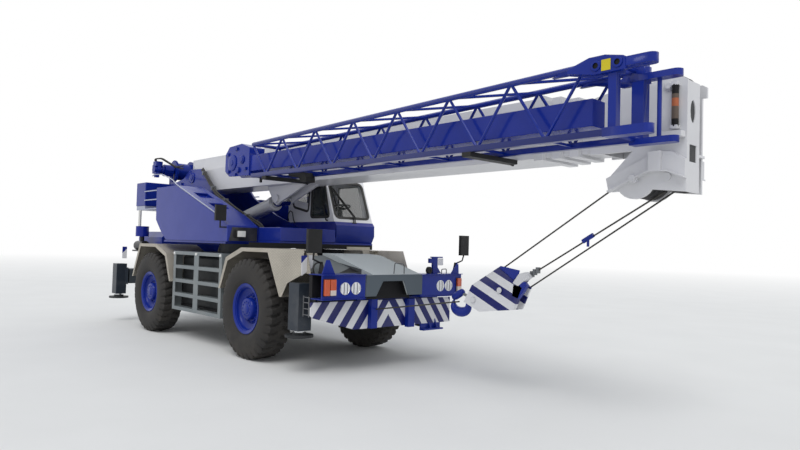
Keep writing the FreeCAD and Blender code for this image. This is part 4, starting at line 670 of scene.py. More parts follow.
# Each indicator's place: right edge, left edge, foot, top.
INDICATORS = ((-1.278, -1.196, 1.082, 1.288), (-1.186, -1.096, 1.082, 1.288), (1.200, 1.288, 1.078, 1.272))
for name, look, back, face, rim, edge in (("indicators", amber, HOUSING_FACE_X, 3.942, 0, 0.008),
                                          ("indicator_backs", black_plastic, 3.895, 3.912, .008, 0.003)):
    boxes = [block((back, low - rim, foot - rim), (face, high + rim, top + rim))
             for low, high, foot, top in INDICATORS]
    piece(name, joined(*boxes), look, "carrier", edge=edge)


# Bumper. One plate across the front, flame cut, masked and sprayed in slanting blue and white bands
# that rise to the middle, with two blue towing brackets and a low shelf welded on.
BUMPER_X, BUMPER_FACE_X = 3.700, 3.722
BAND_BLUE = (0.008, 0.012, 0.125)


def masked(look, first, second, share, dirt=0.15, blotches=1.7):
    """Two sprayed colours parted by share, with road dust in soft blotches over both."""
    haze = look.mottle(blotches, 5.0, 0.6).within(0.45, 0.8) * dirt
    look.set(Base_Color=look.mix(look.mix(first, second, share), ROAD_DUST, haze))


striped = paint("striped_paint", (0.8, 0.8, 0.82), "blue_paint", dirt=0.2)
reach = abs(striped.at("Y")) + striped.at("Z") * 0.72
past_middle = striped.at("Y") > 0
past = reach - 0.55
right_bands, left_bands = (reach - 0.561) / 0.262, past / 0.29 + past * past * 0.42
band_number = right_bands * (1 - past_middle) + left_bands * past_middle
masked(striped, BAND_BLUE, (0.72, 0.72, 0.74), ((band_number + 20) % 1.0) < 0.49)
bumper_line = [(-1.335, .985), (1.27, .975), (1.27, .595), (-.62, .595), (-1.30, .785), (-1.335, .815)]
bumper = plate(bumper_line, "X", BUMPER_X, BUMPER_FACE_X)
piece("bumper_plate", bumper, striped, "carrier", "front_bumper", edge=0.004)
brackets = [block((BUMPER_FACE_X, low, foot), (face, high, top)) for low, high, foot, top, face in
            ((-.385, -.272, .600, 1.00, 3.80), (.315, .440, .575, .985, 3.80), (.64, 1.06, .500, .525, 3.79))]
shelf_webs = [plate([(BUMPER_FACE_X, .52), (3.785, .52), (BUMPER_FACE_X, top)], "Y", y, y + .02)
              for y, top in ((.80, .62), (.93, .66))]
shelf_back = block((BUMPER_X, .64, .500), (BUMPER_FACE_X, 1.06, .60))
piece("towing_brackets", joined(*brackets, *shelf_webs, shelf_back), blue_paint, "carrier", edge=0.004)


# Front mirrors. Black moulded heads on bent steel arms, bolted to gusseted blue brackets that stand
# on the lamp housings.
LEFT_HEAD_OUT, RIGHT_HEAD_WIDER = 0.055, 0.2
HEADS_FROM_Z, MIRROR_LIMIT_Y = 1.60, -1.50


def set_out(points):
    """Moves the left head and the top of its arm out, and widens the right head away from its inner edge."""
    raised = np.clip((points[:, 2] - 1.50) / 0.08, 0, 1)
    left = raised * LEFT_HEAD_OUT * (points[:, 1] > 0)
    right = (points[:, 1] + 1.32) * RIGHT_HEAD_WIDER * (points[:, 1] < 0) * (points[:, 2] > HEADS_FROM_Z)
    return np.c_[points[:, 0], np.maximum(points[:, 1] + left + right, MIRROR_LIMIT_Y), points[:, 2]]


from_cad("front_mirror_sets", black_plastic, "carrier", "front_mirrors", 0.012, shift=set_out)
near_gusset = plate([(-1.275, 1.345), (-1.062, 1.345), (-1.155, 1.535), (-1.205, 1.535)], "X", 3.845, 3.860)
far_gusset = plate([(1.125, 1.338), (1.305, 1.338), (1.295, 1.485), (1.265, 1.485)], "X", 3.845, 3.860)
webs = [plate([(3.72, 1.338), (3.85, 1.338), (3.85, 1.52)], "Y", y, y + .014) for y in (-1.187, 1.27)]
piece("mirror_gussets", joined(near_gusset, far_gusset, *webs), blue_paint, "carrier", edge=0.003)


# Front fittings. Small bent and welded parts on the front corners, bolted down: marker boards, a
# gauge post with a blank card, and a lead's reel.
POST_X, POST_FRONT_X = 3.73, 3.77
board_paint = paint("board_paint", (0.8, 0.8, 0.82), "white_paint", dirt=0.15)
down_right = board_paint.at("Y") - board_paint.at("Z")
board_white = (down_right > -2.768) * (down_right < -2.524)
board_paint.set(Base_Color=board_paint.mix((0.006, 0.017, 0.22), (0.74, 0.74, 0.76), board_white))
near_board = plate([(-1.294, 1.576), (-1.095, 1.586), (-1.115, 1.419), (-1.283, 1.309)], "X", 3.412, 3.420)
rear_board = plate([(-1.33, 1.33), (-1.24, 1.33), (-1.24, 1.57), (-1.33, 1.57)], "X", -3.01, -3.00)
piece("marker_boards", joined(near_board, rear_board), board_paint, "carrier", edge=0.001)
post_blocks = [block((POST_X, low, foot), (POST_FRONT_X, high, top)) for low, high, foot, top in
               ((.83, .93, 1.336, 1.583), (.80, 1.038, 1.574, 1.592), (.755, .83, 1.495, 1.565))]
post_web = plate([(.93, 1.345), (1.02, 1.345), (.93, 1.45)], "X", 3.745, 3.755)
piece("gauge_post", joined(*post_blocks, post_web), blue_paint, "carrier", edge=0.004)
card = paint("card_white", (0.72, 0.72, 0.74), "white_paint", rough=0.5, coat=0.0, dirt=0.1)
piece("blank_card", block((3.772, .932, 1.462), (3.778, 1.036, 1.567)), card, "carrier", edge=0.001)
reel_line = [(3.735, 0), (3.735, .045), (3.745, .056), (3.775, .056), (3.785, .045), (3.785, .022),
             (3.780, .020), (3.780, 0)]
piece("lead_reel", lathe(reel_line, (0, .752, 1.386), "X", 32), black_plastic, "carrier", crease=40)


# Turntable. Two thick cut plates with the boom's foot pin between them, cross members and the side
# covers of folded sheet, welded and sprayed gloss blue; a weight hangs at the tail between rails.
TAIL_REAR_X, TAIL_FRONT_X = -3.20, -2.715
RAIL_Y, RAIL_HALF = 1.02, .015
COVER_FRONT_X = 1.188
FLOOR_X = 1.862
deep_blue = paint("deep_blue_paint", (0.005, 0.021, 0.255), "blue_paint", rough=0.25, coat=0.2, dirt=0.03)
rail_paint = paint("rail_paint", (0.35, 0.38, 0.50), "grey_paint", dirt=0.2)
# Painted shade: glossy near black for the side cover's front face, which stands in shade under the overhang.
shaded_cover_panel = paint("shaded_cover_panel", (0.012, 0.013, 0.02), "black_paint", rough=0.35, coat=0.4, dirt=0.2)
cream = paint("cream_paint", (0.60, 0.56, 0.46), "white_paint", rough=0.4)
from_cad("turntable_plates", deep_blue, "turntable", "turntable_frame")
from_cad("side_panels", deep_blue, "turntable", "side_covers", 0.012)
weight = block((TAIL_REAR_X, -1.02, 2.42), (TAIL_FRONT_X, 1.02, 2.905))
piece("tail_weight", weight, blue_paint, "turntable", "counterweight", edge=0.015)
rails = joined(*(block((-2.73, RAIL_Y - RAIL_HALF, z), (-1.695, RAIL_Y + RAIL_HALF, z + .022))
                 for z in (2.700, 2.520, 2.335)))
lower_band = block((-3.185, -1.01, 2.335), (-2.735, 1.01, 2.421))
tail_rails = joined(lower_band, both_sides(rails))
piece("tail_rail_bars", tail_rails, rail_paint, "turntable", "tail_rails", edge=0.004)
panel_line = [(-1.175, 1.745), (-.675, 1.745), (-.675, 1.965), (-1.12, 1.965)]
nose_line = [(1.80, 2.062), (1.872, 2.062), (1.878, 1.885), (1.800, 1.738), (1.76, 1.738)]
for name, form, look, edge in (
        # Painted shade: the cover's front face as a near black panel.
        ("cover_front_panel", plate(panel_line, "X", COVER_FRONT_X, COVER_FRONT_X + .010), shaded_cover_panel, 0.002),
        # Painted shade: a black block along the turntable's front foot, in the shade under the cab.
        ("floor_edge", block((1.851, -1.19, 1.655), (FLOOR_X, 1.24, 1.733)), shade_black, 0.002),
        ("cab_nose_panel", plate(nose_line, "Y", .432, 1.268), blue_paint, 0.006),
        ("floor_strip", block((FLOOR_X, .67, 1.650), (FLOOR_X + .008, 1.18, 1.700)), cream, 0.002),
        ("work_lamp_body", block((1.198, -1.08, 1.795), (1.262, -.90, 1.925)), black_plastic, 0.012),
        ("work_lamp_lens", block((1.258, -1.062, 1.812), (1.268, -.918, 1.908)), lens_white, 0.004)):
    piece(name, form, look, "turntable", edge=edge)


# Hoses and bent rod. Black rubber hydraulic hoses clipped along the top of the right-hand plate, from
# the winch motors down to the slewing centre; steel loops, a rod ladder and a coiled lead in front.
def bent(corners, radius, closed=False):
    """Line through corners, each rounded by a parabola between the points a radius to either side of it."""
    places = np.asarray(corners, float)
    before, after = np.roll(places, 1, 0), np.roll(places, -1, 0)
    back = places + (before - places) / np.linalg.norm(before - places, axis=1)[:, None] * radius
    on = places + (after - places) / np.linalg.norm(after - places, axis=1)[:, None] * radius
    s = np.linspace(0, 1, 7)[None, :, None]
    line = (1 - s) ** 2 * back[:, None] + 2 * s * (1 - s) * places[:, None] + s ** 2 * on[:, None]
    if closed:
        return line.reshape(-1, places.shape[1])
    return np.concatenate([places[:1], line[1:-1].reshape(-1, places.shape[1]), places[-1:]])


def tube(path, radius, sides=12, closed=False):
    """Point(i, turn) = path(i) + radius(i) * (cos turn * one(i) + sin turn * two(i)), one and two square to
    the path."""
    path = np.asarray(path, float)
    ahead = np.roll(path, -1, 0) - np.roll(path, 1, 0) if closed else np.gradient(path, axis=0)
    ahead /= np.linalg.norm(ahead, axis=1)[:, None]
    least = np.eye(3)[np.abs(ahead).max(0).argmin()]
    one = np.cross(ahead, least)
    one /= np.linalg.norm(one, axis=1)[:, None]
    two = np.cross(ahead, one)
    turn = full_turn(sides)[None, :, None]
    reach = np.broadcast_to(np.asarray(radius, float).reshape(-1, 1, 1), (len(path), 1, 1))
    points = path[:, None] + reach * (np.cos(turn) * one[:, None] + np.sin(turn) * two[:, None])
    faces = grid_faces(len(path), sides, closed, True)
    if not closed:
        faces += [list(range(sides)), list(range((len(path) - 1) * sides, len(path) * sides))]
    return points.reshape(-1, 3), faces


def hose(corners, bend, radius):
    """A tube along corners that are rounded by bend."""
    return tube(bent(corners, bend), radius)


LADDER_Y, LADDER_X = -1.235, (3.41, 3.54)
PLATE_EDGE = [(-1.38, 3.12), (-1.15, 2.935), (-.78, 2.625), (.05, 2.285), (.95, 1.99), (1.02, 1.80)]
CLIPS = ((-1.30, 3.035), (-.90, 2.725), (-.40, 2.47), (.40, 2.171))
hose_rubber = Look("hose_rubber", "black_plastic", Specular_IOR_Level=0.45)
hose_rubber.set(Base_Color=hose_rubber.clouds((0.010, 0.010, 0.011), (0.05, 0.047, 0.043), 7.0, 5.0),
                Roughness=hose_rubber.mottle(30.0) * 0.25 + 0.4)
hose_rubber.bump(hose_rubber.mottle(160.0, 2.0), 0.0008)
hand_steel = paint("hand_steel", (0.13, 0.135, 0.145), "cast_metal", rough=0.4, coat=0.2)
deck_loop = [(3.86, -.045, 1.335), (3.86, -.030, 1.503), (3.86, .150, 1.480), (3.86, .150, 1.335)]
box_loop = [(3.75, 1.037, 1.336), (3.75, 1.037, 1.402), (3.75, 1.140, 1.406), (3.75, 1.141, 1.336)]
rungs = [tube([(x, LADDER_Y, z) for x in LADDER_X], .007) for z in (.80, .88, .96, 1.03)]
posts = [tube([(x, LADDER_Y, z) for z in (.775, 1.05)], .009) for x in LADDER_X]
loops = joined(hose(deck_loop, .03, .008), hose(box_loop, .02, .007), *rungs, *posts)
piece("grab_loops", loops, hand_steel, "carrier", crease=50)
coil_turn = full_turn(40)
coil = np.c_[3.55 + 0 * coil_turn, -1.119 + .082 * np.cos(coil_turn), 1.408 + .080 * np.sin(coil_turn)]
lead = joined(*(tube(coil + (lift, 0, 0), .008, closed=True) for lift in (0, .014)))
piece("coiled_lead", lead, hose_rubber, "carrier", crease=60)
runs = [hose([(x, y, z + lift) for x, z in PLATE_EDGE], 0.10, 0.019)
        for y, lift in ((-.405, 0), (-.448, .004), (-.425, .034))]
piece("main_hoses", joined(*runs), hose_rubber, "turntable", crease=60)
steel_clip = paint("clip_steel", (0.16, 0.17, 0.18), "cast_metal", rough=0.4, coat=0.2)
clips = [block((x - .02, -.475, z - .02), (x + .02, -.378, z + .058)) for x, z in CLIPS]
piece("hose_clips", joined(*clips), steel_clip, "turntable", edge=0.003)


# Winches. Two grooved drums, one wound with greased wire rope, between flanged plates, each turned by
# a hydraulic motor and its gearbox outboard; castings sprayed blue as one.
WINCH = (-2.85, 0, 3.20)
ROPE_LAY, LAYER_R, LAYER_RIPPLE = 0.02, 0.192, 0.008
wire = Look("wire_rope", Metallic=0.55)
wire.set(Base_Color=wire.clouds((0.018, 0.016, 0.014), (0.10, 0.095, 0.085), 28.0, 5.0),
         Roughness=wire.mottle(60.0) * 0.3 + 0.35)
from_cad("winch_drums", blue_paint, "turntable", "winches")
layer_y = np.linspace(0.020, 0.360, 17 * 8)
layer_r = LAYER_R + LAYER_RIPPLE * np.abs(np.cos(layer_y / ROPE_LAY * np.pi))
wound = lathe(np.c_[np.r_[.018, layer_y, .362], np.r_[.148, layer_r, .148]], WINCH, steps=72)
piece("wound_rope", wound, wire, "turntable", crease=60)
drum_line = [(.018, .10), (.018, .176), (.030, .180), (.350, .180), (.362, .176), (.362, .10)]
cheeks = [lathe([(y, .10), (y, reach), (y + .022, reach), (y + .022, .10)], WINCH)
          for y, reach in ((-.395, .215), (-.030, .240))]
drum = joined(other_side(lathe(drum_line, WINCH)), *cheeks)
piece("bare_drum", drum, blue_paint, "turntable", crease=50)
motor_line = [(.62, .075), (.62, .098), (.66, .098), (.66, .078), (.70, .078), (.70, .104), (.76, .104),
              (.765, .075)]
motor = joined(lathe(motor_line, WINCH, steps=32), block((-2.93, .66, 3.27), (-2.77, .80, 3.37)),
               block((-2.97, .70, 3.12), (-2.91, .80, 3.30)), block((-2.83, .735, 3.03), (-2.74, .815, 3.14)))
piece("winch_motors", both_sides(motor), blue_paint, "turntable", edge=0.004)
# A light grey lead from the winch motor, partly a real cable and partly a painted highlight of the cover's
# top edge, along which it runs.
lead_and_highlight_way = [(-2.86, -.83, 3.06), (-2.717, -.85, 3.078), (-2.282, -.86, 3.055), (-1.45, -1.0, 2.885),
              (-.80, -1.196, 2.744), (.79, -1.196, 2.184), (.87, -1.17, 2.12)]
piece("lead_and_edge_highlight", hose(lead_and_highlight_way, .08, .010), rail_paint, "turntable", crease=60)
loops = joined(*(hose([(-2.85 + dx, .76, 3.34), (-2.85 + dx, .80, 3.42), (-2.70 + dx, .72, 3.43),
                       (-2.45 + dx, .52, 3.25), (-2.25, .44, 3.24 + dx)], 0.05, 0.014) for dx in (-.03, .03)))
piece("motor_hoses", both_sides(loops), hose_rubber, "turntable", crease=60)


# Cab. A welded shell and door of pressed sheet, white above the waist and blue below it, with panes
# set in black rubber, a twin-arm wiper and grab rails.
WAIST_Z = 2.118
CAB_RIGHT_Y, CAB_LEFT_Y, CAB_REAR_X = .43, 1.27, .399
SEAL_W, SEAL_PROUD, SEAL_BEND = .042, .008, .07
SCREEN_FOOT, SCREEN_TOP = np.array((1.80, 0, 2.14)), np.array((1.51, 0, 2.87))
SCREEN_MARGIN = .055
cab_paint = paint("cab_paint", (0.8, 0.8, 0.82), "white_paint", dirt=0.14)
masked(cab_paint, (0.018, 0.027, 0.26), (0.76, 0.76, 0.78), cab_paint.at("Z").within(WAIST_Z, WAIST_Z + .003))
from_cad("cab_body", cab_paint, "turntable", "cab_shell", 0.010)
from_cad("cab_door_panel", cab_paint, "door", "cab_door")
pane = Look("window_glass", Roughness=0.03, Coat_Weight=1.0, Coat_Roughness=0.02)
side_on = 1 - (abs(pane.at("Y") - 0.85)).within(0.395, 0.400)
pane.set(Base_Color=pane.clouds((0.030, 0.040, 0.038), (0.055, 0.068, 0.064), 1.5),
         Alpha=0.52 - side_on * 0.40)
finish(pane, "cab_glass", "cab_door_glass")


def seal(pane_corners, origin, along, up, out, bend=SEAL_BEND, width=SEAL_W, proud=SEAL_PROUD):
    """Point(i, j) = origin + flat(i, j) on the pane's plane + proud * d(j) out of it, where flat is the loop
    round the pane moved across itself by width * c(j), for a rounded section (c, d)."""
    loop = bent(pane_corners, bend, closed=True)
    ahead = np.roll(loop, -1, 0) - np.roll(loop, 1, 0)
    across = np.c_[ahead[:, 1], -ahead[:, 0]] / np.linalg.norm(ahead, axis=1)[:, None]
    section = np.array([(-.5, -1), (-.5, .5), (-.3, .9), (0, 1), (.3, .9), (.5, .5), (.5, -1)])
    flat = loop[:, None] + across[:, None] * section[None, :, :1] * width
    on_pane = origin + flat[..., :1] * np.array(along) + flat[..., 1:] * np.array(up)
    points = on_pane + section[None, :, 1:] * proud * np.array(out)
    return points.reshape(-1, 3), grid_faces(len(loop), len(section), True, True)


def on_screen(y, height, lift):
    """A place on the windscreen: its foot + height up the slope, lifted off it."""
    return SCREEN_FOOT + (0, y, 0) + slope * height + slope_out * lift


RIGHT_PANES = [[(1.12, 2.20), (1.67, 2.20), (1.50, 2.80), (1.15, 2.80)],
               [(.56, 2.40), (1.04, 2.30), (1.07, 2.80), (.56, 2.80)]]
rear_pane = [(.55, 2.30), (1.15, 2.30), (1.15, 2.85), (.55, 2.85)]
door_pane = [(.80, 2.20), (1.59, 2.20), (1.40, 2.80), (.80, 2.80)]
screen_len = float(np.linalg.norm(SCREEN_TOP - SCREEN_FOOT))
slope = (SCREEN_TOP - SCREEN_FOOT) / screen_len
slope_out = np.array((slope[2], 0, -slope[0]))
screen = [(.485, SCREEN_MARGIN), (1.215, SCREEN_MARGIN), (1.215, screen_len - SCREEN_MARGIN),
          (.485, screen_len - SCREEN_MARGIN)]
seals = [seal(corners, (0, CAB_RIGHT_Y - .002, 0), (1, 0, 0), (0, 0, 1), (0, -1, 0))
         for corners in RIGHT_PANES]
rear_seal = seal(rear_pane, (CAB_REAR_X, 0, 0), (0, 1, 0), (0, 0, 1), (-1, 0, 0))
screen_seal = seal(screen, SCREEN_FOOT, (0, 1, 0), slope, slope_out, .09, .046, .009)
piece("window_seals", joined(*seals, rear_seal, screen_seal), hose_rubber, "turntable", crease=45)
door_seal = seal(door_pane, (0, CAB_LEFT_Y + .002, 0), (1, 0, 0), (0, 0, 1), (0, 1, 0))
piece("door_seal", door_seal, hose_rubber, "door", crease=45)
wiper = [tube([(1.825, .864, 2.095), on_screen(.88, .06, .035), on_screen(.515, .60, .032)], .011),
         tube([(1.825, .830, 2.100), on_screen(.845, .06, .035), on_screen(.485, .60, .032)], .008),
         tube([on_screen(.500, .63, .026), on_screen(.530, .25, .026)], .014),
         block((1.795, .80, 2.070), (1.835, .90, 2.118))]
piece("wiper", joined(*wiper), black_plastic, "turntable", crease=50)
rails = [hose([(1.62, .428, 2.14), (1.62, .395, 2.14), (1.36, .395, 2.86), (1.36, .428, 2.86)], .02, .011),
         hose([(.63, .425, 2.10), (.62, .40, 2.16), (.57, .40, 2.30), (.50, .40, 2.33), (.44, .40, 2.27),
               (.43, .40, 2.18), (.43, .425, 2.15)], .02, .008)]
piece("cab_grab_rail", joined(*rails), black_plastic, "turntable", crease=60)
lid = plate(bent([(.62, .56), (1.20, .56), (1.20, 1.14), (.62, 1.14)], .06, closed=True), "Z", 3.035, 3.060)
piece("roof_hatch", lid, cab_paint, "turntable", edge=0.008)


# Driver's place. A seat of two foam cushions in woven cloth on a plain foot, a steering wheel on its
# column and two levers with round knobs on a moulded console.
SEAT_Y, LEVER_Y = .85, .52
WHEEL_X, WHEEL_Z, WHEEL_R, WHEEL_TILT = 1.40, 2.392, .178, .040
THREAD = 0.004


def cushion(centre, half, lean, fullness=3.2, steps=48):
    """Point(a, b) = centre + half * superellipsoid, each of its sines and cosines raised to 2 / fullness,
    leaned back about Y."""
    def full(wave):
        return np.sign(wave) * np.abs(wave) ** (2 / fullness)

    a = np.linspace(-np.pi / 2, np.pi / 2, steps // 2)[:, None]
    b = np.linspace(-np.pi, np.pi, steps, endpoint=False)[None, :]
    flat_x, flat_y = full(np.cos(a)) * full(np.cos(b)), full(np.cos(a)) * full(np.sin(b))
    flat_z = np.broadcast_to(full(np.sin(a)), flat_x.shape)
    seam = 1 - 0.05 * np.exp(-(flat_z / 0.10) ** 2)
    points = np.stack([flat_x * seam * half[0], flat_y * seam * half[1], flat_z * half[2]], -1).reshape(-1, 3)
    spin = np.array(Matrix.Rotation(lean, 3, "Y"))
    return points @ spin.T + centre, grid_faces(steps // 2, steps, round_columns=True)


cloth = Look("seat_cloth", "seat_cover", Roughness=0.85, Specular_IOR_Level=0.2)
cloth_x, cloth_y, cloth_z = (cloth.at(axis) / THREAD for axis in "XYZ")
weave = ((cloth_y % 1.0) - 0.5) * (((cloth_x + cloth_z) % 1.0) - 0.5) * 4
cloth.set(Base_Color=cloth.mix((0.020, 0.022, 0.028), (0.075, 0.078, 0.088), weave.within(-0.6, 0.6)))
cloth.bump(weave, 0.0008)
for name, form in (("seat_cushion", cushion((.94, SEAT_Y, 2.175), (.235, .235, .062), 0)),
                   ("seat_back", cushion((.715, SEAT_Y, 2.53), (.062, .225, .30), -.13))):
    piece(name, form, cloth, "turntable", "cab_interior", crease=80)
wheel_turn = full_turn(48)
rim = np.c_[WHEEL_X + WHEEL_R * np.cos(wheel_turn), SEAT_Y + WHEEL_R * np.sin(wheel_turn),
            WHEEL_Z + WHEEL_TILT * np.cos(wheel_turn)]
half_turn = np.linspace(0, np.pi, 9)
knob = np.c_[.02 * np.cos(half_turn[::-1]), .02 * np.sin(half_turn)]
wheel = [tube(rim, .015, closed=True), tube([(1.24, SEAT_Y, 2.36), (1.56, SEAT_Y, 2.425)], .012),
         tube([(WHEEL_X, .70, 2.385), (WHEEL_X, 1.0, 2.385)], .012)]
column = tube([(1.53, SEAT_Y, 1.80), (1.405, SEAT_Y, 2.40)], .035)
console = block((1.28, .475, 1.792), (1.68, .575, 2.26))
seat_foot = block((.80, .72, 1.792), (1.06, .98, 2.10))
levers = [tube([(foot, LEVER_Y, 2.25), (top, LEVER_Y, 2.47)], .008)
          for foot, top in ((1.36, 1.33), (1.44, 1.42))]
knobs = [lathe(knob, (x, LEVER_Y, 2.48), "Z", 16) for x in (1.33, 1.42)]
fittings = joined(*wheel, column, console, seat_foot, *levers, *knobs)
piece("cab_fittings", fittings, black_plastic, "turntable", "cab_interior", edge=0.004, crease=50)


# Side mirror. A black moulded head on a bent steel arm,
# bolted to the right-hand cover of the turntable.
from_cad("cover_mirror", black_plastic, "turntable", "side_mirror", 0.014)


# Elevating cylinder. A turned barrel sprayed white with its gland nut, round a ground and chromed
# rod; pinned to lugs on the turntable and under the boom.
white_paint = paint("white_paint", (0.66, 0.66, 0.68), dirt=0.14)
from_cad("cylinder_tube", white_paint, "barrel", "cylinder_barrel", 0.004, crease=25)
polished = Look("ground_rod", Metallic=1.0)
polished.set(Base_Color=polished.clouds((0.55, 0.56, 0.57), (0.78, 0.79, 0.80), 6.0),
             Roughness=polished.mottle(90.0, 4.0) * 0.12 + 0.08)
finish(polished, "cylinder_rod")


# Boom. Four nested box sections of folded plate, welded along their sides, with a thick collar at
# each mouth and nylon pads inside it; sprayed white.
BELLY_DEPTH = 0.06
# Each inner section's number, the height of its belly and how far the belly is lifted.
INNER_SECTIONS = ((2, 2.63, 0.067), (3, 2.66, 0.043), (4, 2.69, 0.020))


def level_belly(low, lift):
    """A shift that raises the plate lying at low or just above it, so the bellies come nearly flush."""
    def shift(points):
        in_belly = (points[:, 2] > low) * (points[:, 2] < low + BELLY_DEPTH)
        return points + np.c_[0 * points[:, :2], lift * in_belly]
    return shift


from_cad("boom_outer", white_paint, "boom", "boom_base", 0.010, shift=level_belly(2.60, 0.090))
for number, low, lift in INNER_SECTIONS:
    from_cad("boom_inner_%d" % number, white_paint, "section_%d" % number, "boom_section_%d" % number,
             shift=level_belly(low, lift))


# Boom head. Two flame-cut side plates with their flanges and guards welded to the last section,
# white all over, rope sheaves of cast steel on pins between them and a brown roller in front.
HEAD_X, HEAD_Z = 7.48, 2.45
TOP_X, TOP_Z = 7.81, 3.30
FOUR_FALLS, TWO_FALLS = (-.135, -.045, .045, .135), (-.045, .045)
HUB_R, HUB_RING_R = .046, .072
FACE_X = 7.9665
ROLLER_LINE = [(0, .02), (0, .031), (.39, .031), (.39, .02)]
from_cad("head_plates", white_paint, "section_4", "boom_head", 0.004)
sheave_iron = paint("sheave_iron", (0.07, 0.07, 0.075), "cast_metal", rough=0.45, coat=0.15, dirt=0.3)
roller_look = paint("roller_sleeve", (0.10, 0.08, 0.065), "cast_metal", rough=0.5, coat=0.0)
height = roller_look.at("Z")
rubber_ends = (height < 2.974) + (height > 3.205)
worn = roller_look.mix((0.13, 0.10, 0.08), (0.42, 0.13, 0.06), (height > 3.09) * (height < 3.165))
roller_look.set(Base_Color=roller_look.mix(worn, (0.012, 0.012, 0.013), rubber_ends))
# Painted shade: near black for plates behind the holes in the head plates, where there is only shade.
hole_shade_dark = paint("hole_shade_dark", (0.06, 0.062, 0.065), "black_paint", rough=0.6, coat=0.0, dirt=0.3)


def rope_wheel(x, z, radius, half=.020, web=.008, foot=.0095):
    """Sheave's cross-section: hub, thin web, then a rim with its groove, turned about the pin."""
    near = [(-half, HUB_R), (-half, HUB_RING_R), (-web, HUB_RING_R + .006), (-web, radius - .044),
            (-half, radius - .036), (-half, radius - .003), (-half + .003, radius), (-foot, radius - .021)]
    far = [(-y, r) for y, r in near[::-1]]
    return lathe([*near, (0, radius - .0245), *far], (x, 0, z), steps=48)


# Each row of sheaves: its pin's place, the sheaves' radius and their places across.
SHEAVES = ((HEAD_X, HEAD_Z, .184, FOUR_FALLS), (7.80, HEAD_Z, .129, FOUR_FALLS),
           (TOP_X, TOP_Z, .129, TWO_FALLS))
sheaves = [moved(rope_wheel(x, z, radius), *((0, y, 0) for y in row)) for x, z, radius, row in SHEAVES]
piece("rope_sheaves", joined(*sheaves), sheave_iron, "section_4", "head_sheaves", crease=40)
roller = lathe(ROLLER_LINE, (7.885, -.270, 2.902), "Z", 28)
piece("roller_sleeve", roller, roller_look, "section_4", crease=50)
hole_turn = full_turn(24)
square_hole = [(-.180, 2.580), (-.020, 2.580), (-.020, 2.750), (-.180, 2.750)]
round_hole = np.c_[-.108 + .059 * np.sin(hole_turn), 3.055 + .112 * np.cos(hole_turn)]
# Painted shade: dark plates filling the square and round holes.
hole_backs = joined(*(plate(hole, "X", FACE_X, 7.970) for hole in (square_hole, round_hole)))
piece("head_hole_backs", hole_backs, hole_shade_dark, "section_4")
nut_line = [(0, 0), (0, .052), (.012, .052), (.012, .036), (.026, .036), (.030, .030), (.030, 0)]
nuts = moved(lathe(nut_line, steps=24), (HEAD_X, .268, HEAD_Z), (TOP_X, .230, TOP_Z))
for name, form, edge in (
        ("head_side_shelf", block((7.665, -.335, 2.800), (7.972, -.240, 2.858)), 0.008),
        ("head_side_box", block((7.645, -.305, 2.500), (7.765, -.225, 2.692)), 0.004),
        ("head_pin_caps", both_sides(nuts), 0.002)):
    piece(name, form, white_paint, "section_4", edge=edge)


# Fly jib. A lattice of round tube with square lower chords, welded and sprayed blue, folded back
# along the boom with its boxed second stage run inside it; flame-cut eyes and lugs at its ends.
EYES, EYE_Y = ((7.587, 3.333), (7.788, 3.331)), 1.152
DISC_Y = .990
from_cad("jib_frame", blue_paint, "boom", "jib_lattice", 0, crease=62)
from_cad("jib_box", deep_blue, "boom", "jib_inner")
from_cad("jib_supports", black_plastic, "boom", "jib_brackets", 0.004)
marker_yellow = paint("yellow_marker", (0.60, 0.50, 0.02), "blue_paint", dirt=0.1)


def right_disc(profile, x, y, z):
    """A profile turned about an axis across the vehicle, its outer face to the right at -y."""
    return other_side(lathe(profile, (x, y, z)))


eye_line = [(7.30, 3.312), (7.30, 3.345), (7.53, 3.412), (7.682, 3.410), (7.85, 3.374), (7.861, 3.262),
            (7.56, 3.262)]
ring_line = [(0, .026), (0, .046), (.010, .046), (.012, .040), (.012, .026)]
eye_rings = [right_disc(ring_line, x, EYE_Y, z) for x, z in EYES]
eye_plate = joined(plate(eye_line, "Y", -EYE_Y, -1.105), *eye_rings)
piece("jib_eye_plate", eye_plate, blue_paint, "boom", edge=0.003)
# Painted shade: black discs in the eye holes, where there is only shade.
eye_backs = [right_disc([(0, 0), (0, .027), (.002, .027), (.002, 0)], x, EYE_Y, z) for x, z in EYES]
piece("jib_eye_holes", joined(*eye_backs), shade_black, "boom")
marker = block((7.640, -1.158, 3.278), (7.726, -1.153, 3.374))
piece("yellow_marker_plate", marker, marker_yellow, "boom", edge=0.001)
arm_line = [(2.25, 2.80), (2.66, 2.80), (2.74, 2.70), (2.74, 2.63), (2.61, 2.63), (2.55, 2.70), (2.28, 2.74)]
stow_pin = tube([(1.335, -.72, 2.84), (1.335, -.72, 2.705)], .022)
piece("jib_stow_arm", joined(plate(arm_line, "Y", -.80, -.64), stow_pin), black_plastic, "boom", edge=0.005)
hub_line = [(.018, .05), (.030, .045), (.030, 0)]
discs = [right_disc([(0, 0), (0, reach), (.014, reach), (.018, reach - .012), *hub_line], x, DISC_Y, z)
         for x, z, reach in ((.88, 3.03, .135), (1.20, 3.06, .07), (1.08, 2.90, .05))]
lugs = [block((x, -1.015, z), (x + .07, -.985, z + .05))
        for x, z in ((.70, 3.15), (.98, 3.22), (.72, 2.86), (1.28, 2.88), (.95, 2.80))]
piece("jib_head_fittings", joined(*discs, *lugs), blue_paint, "boom", edge=0.003)


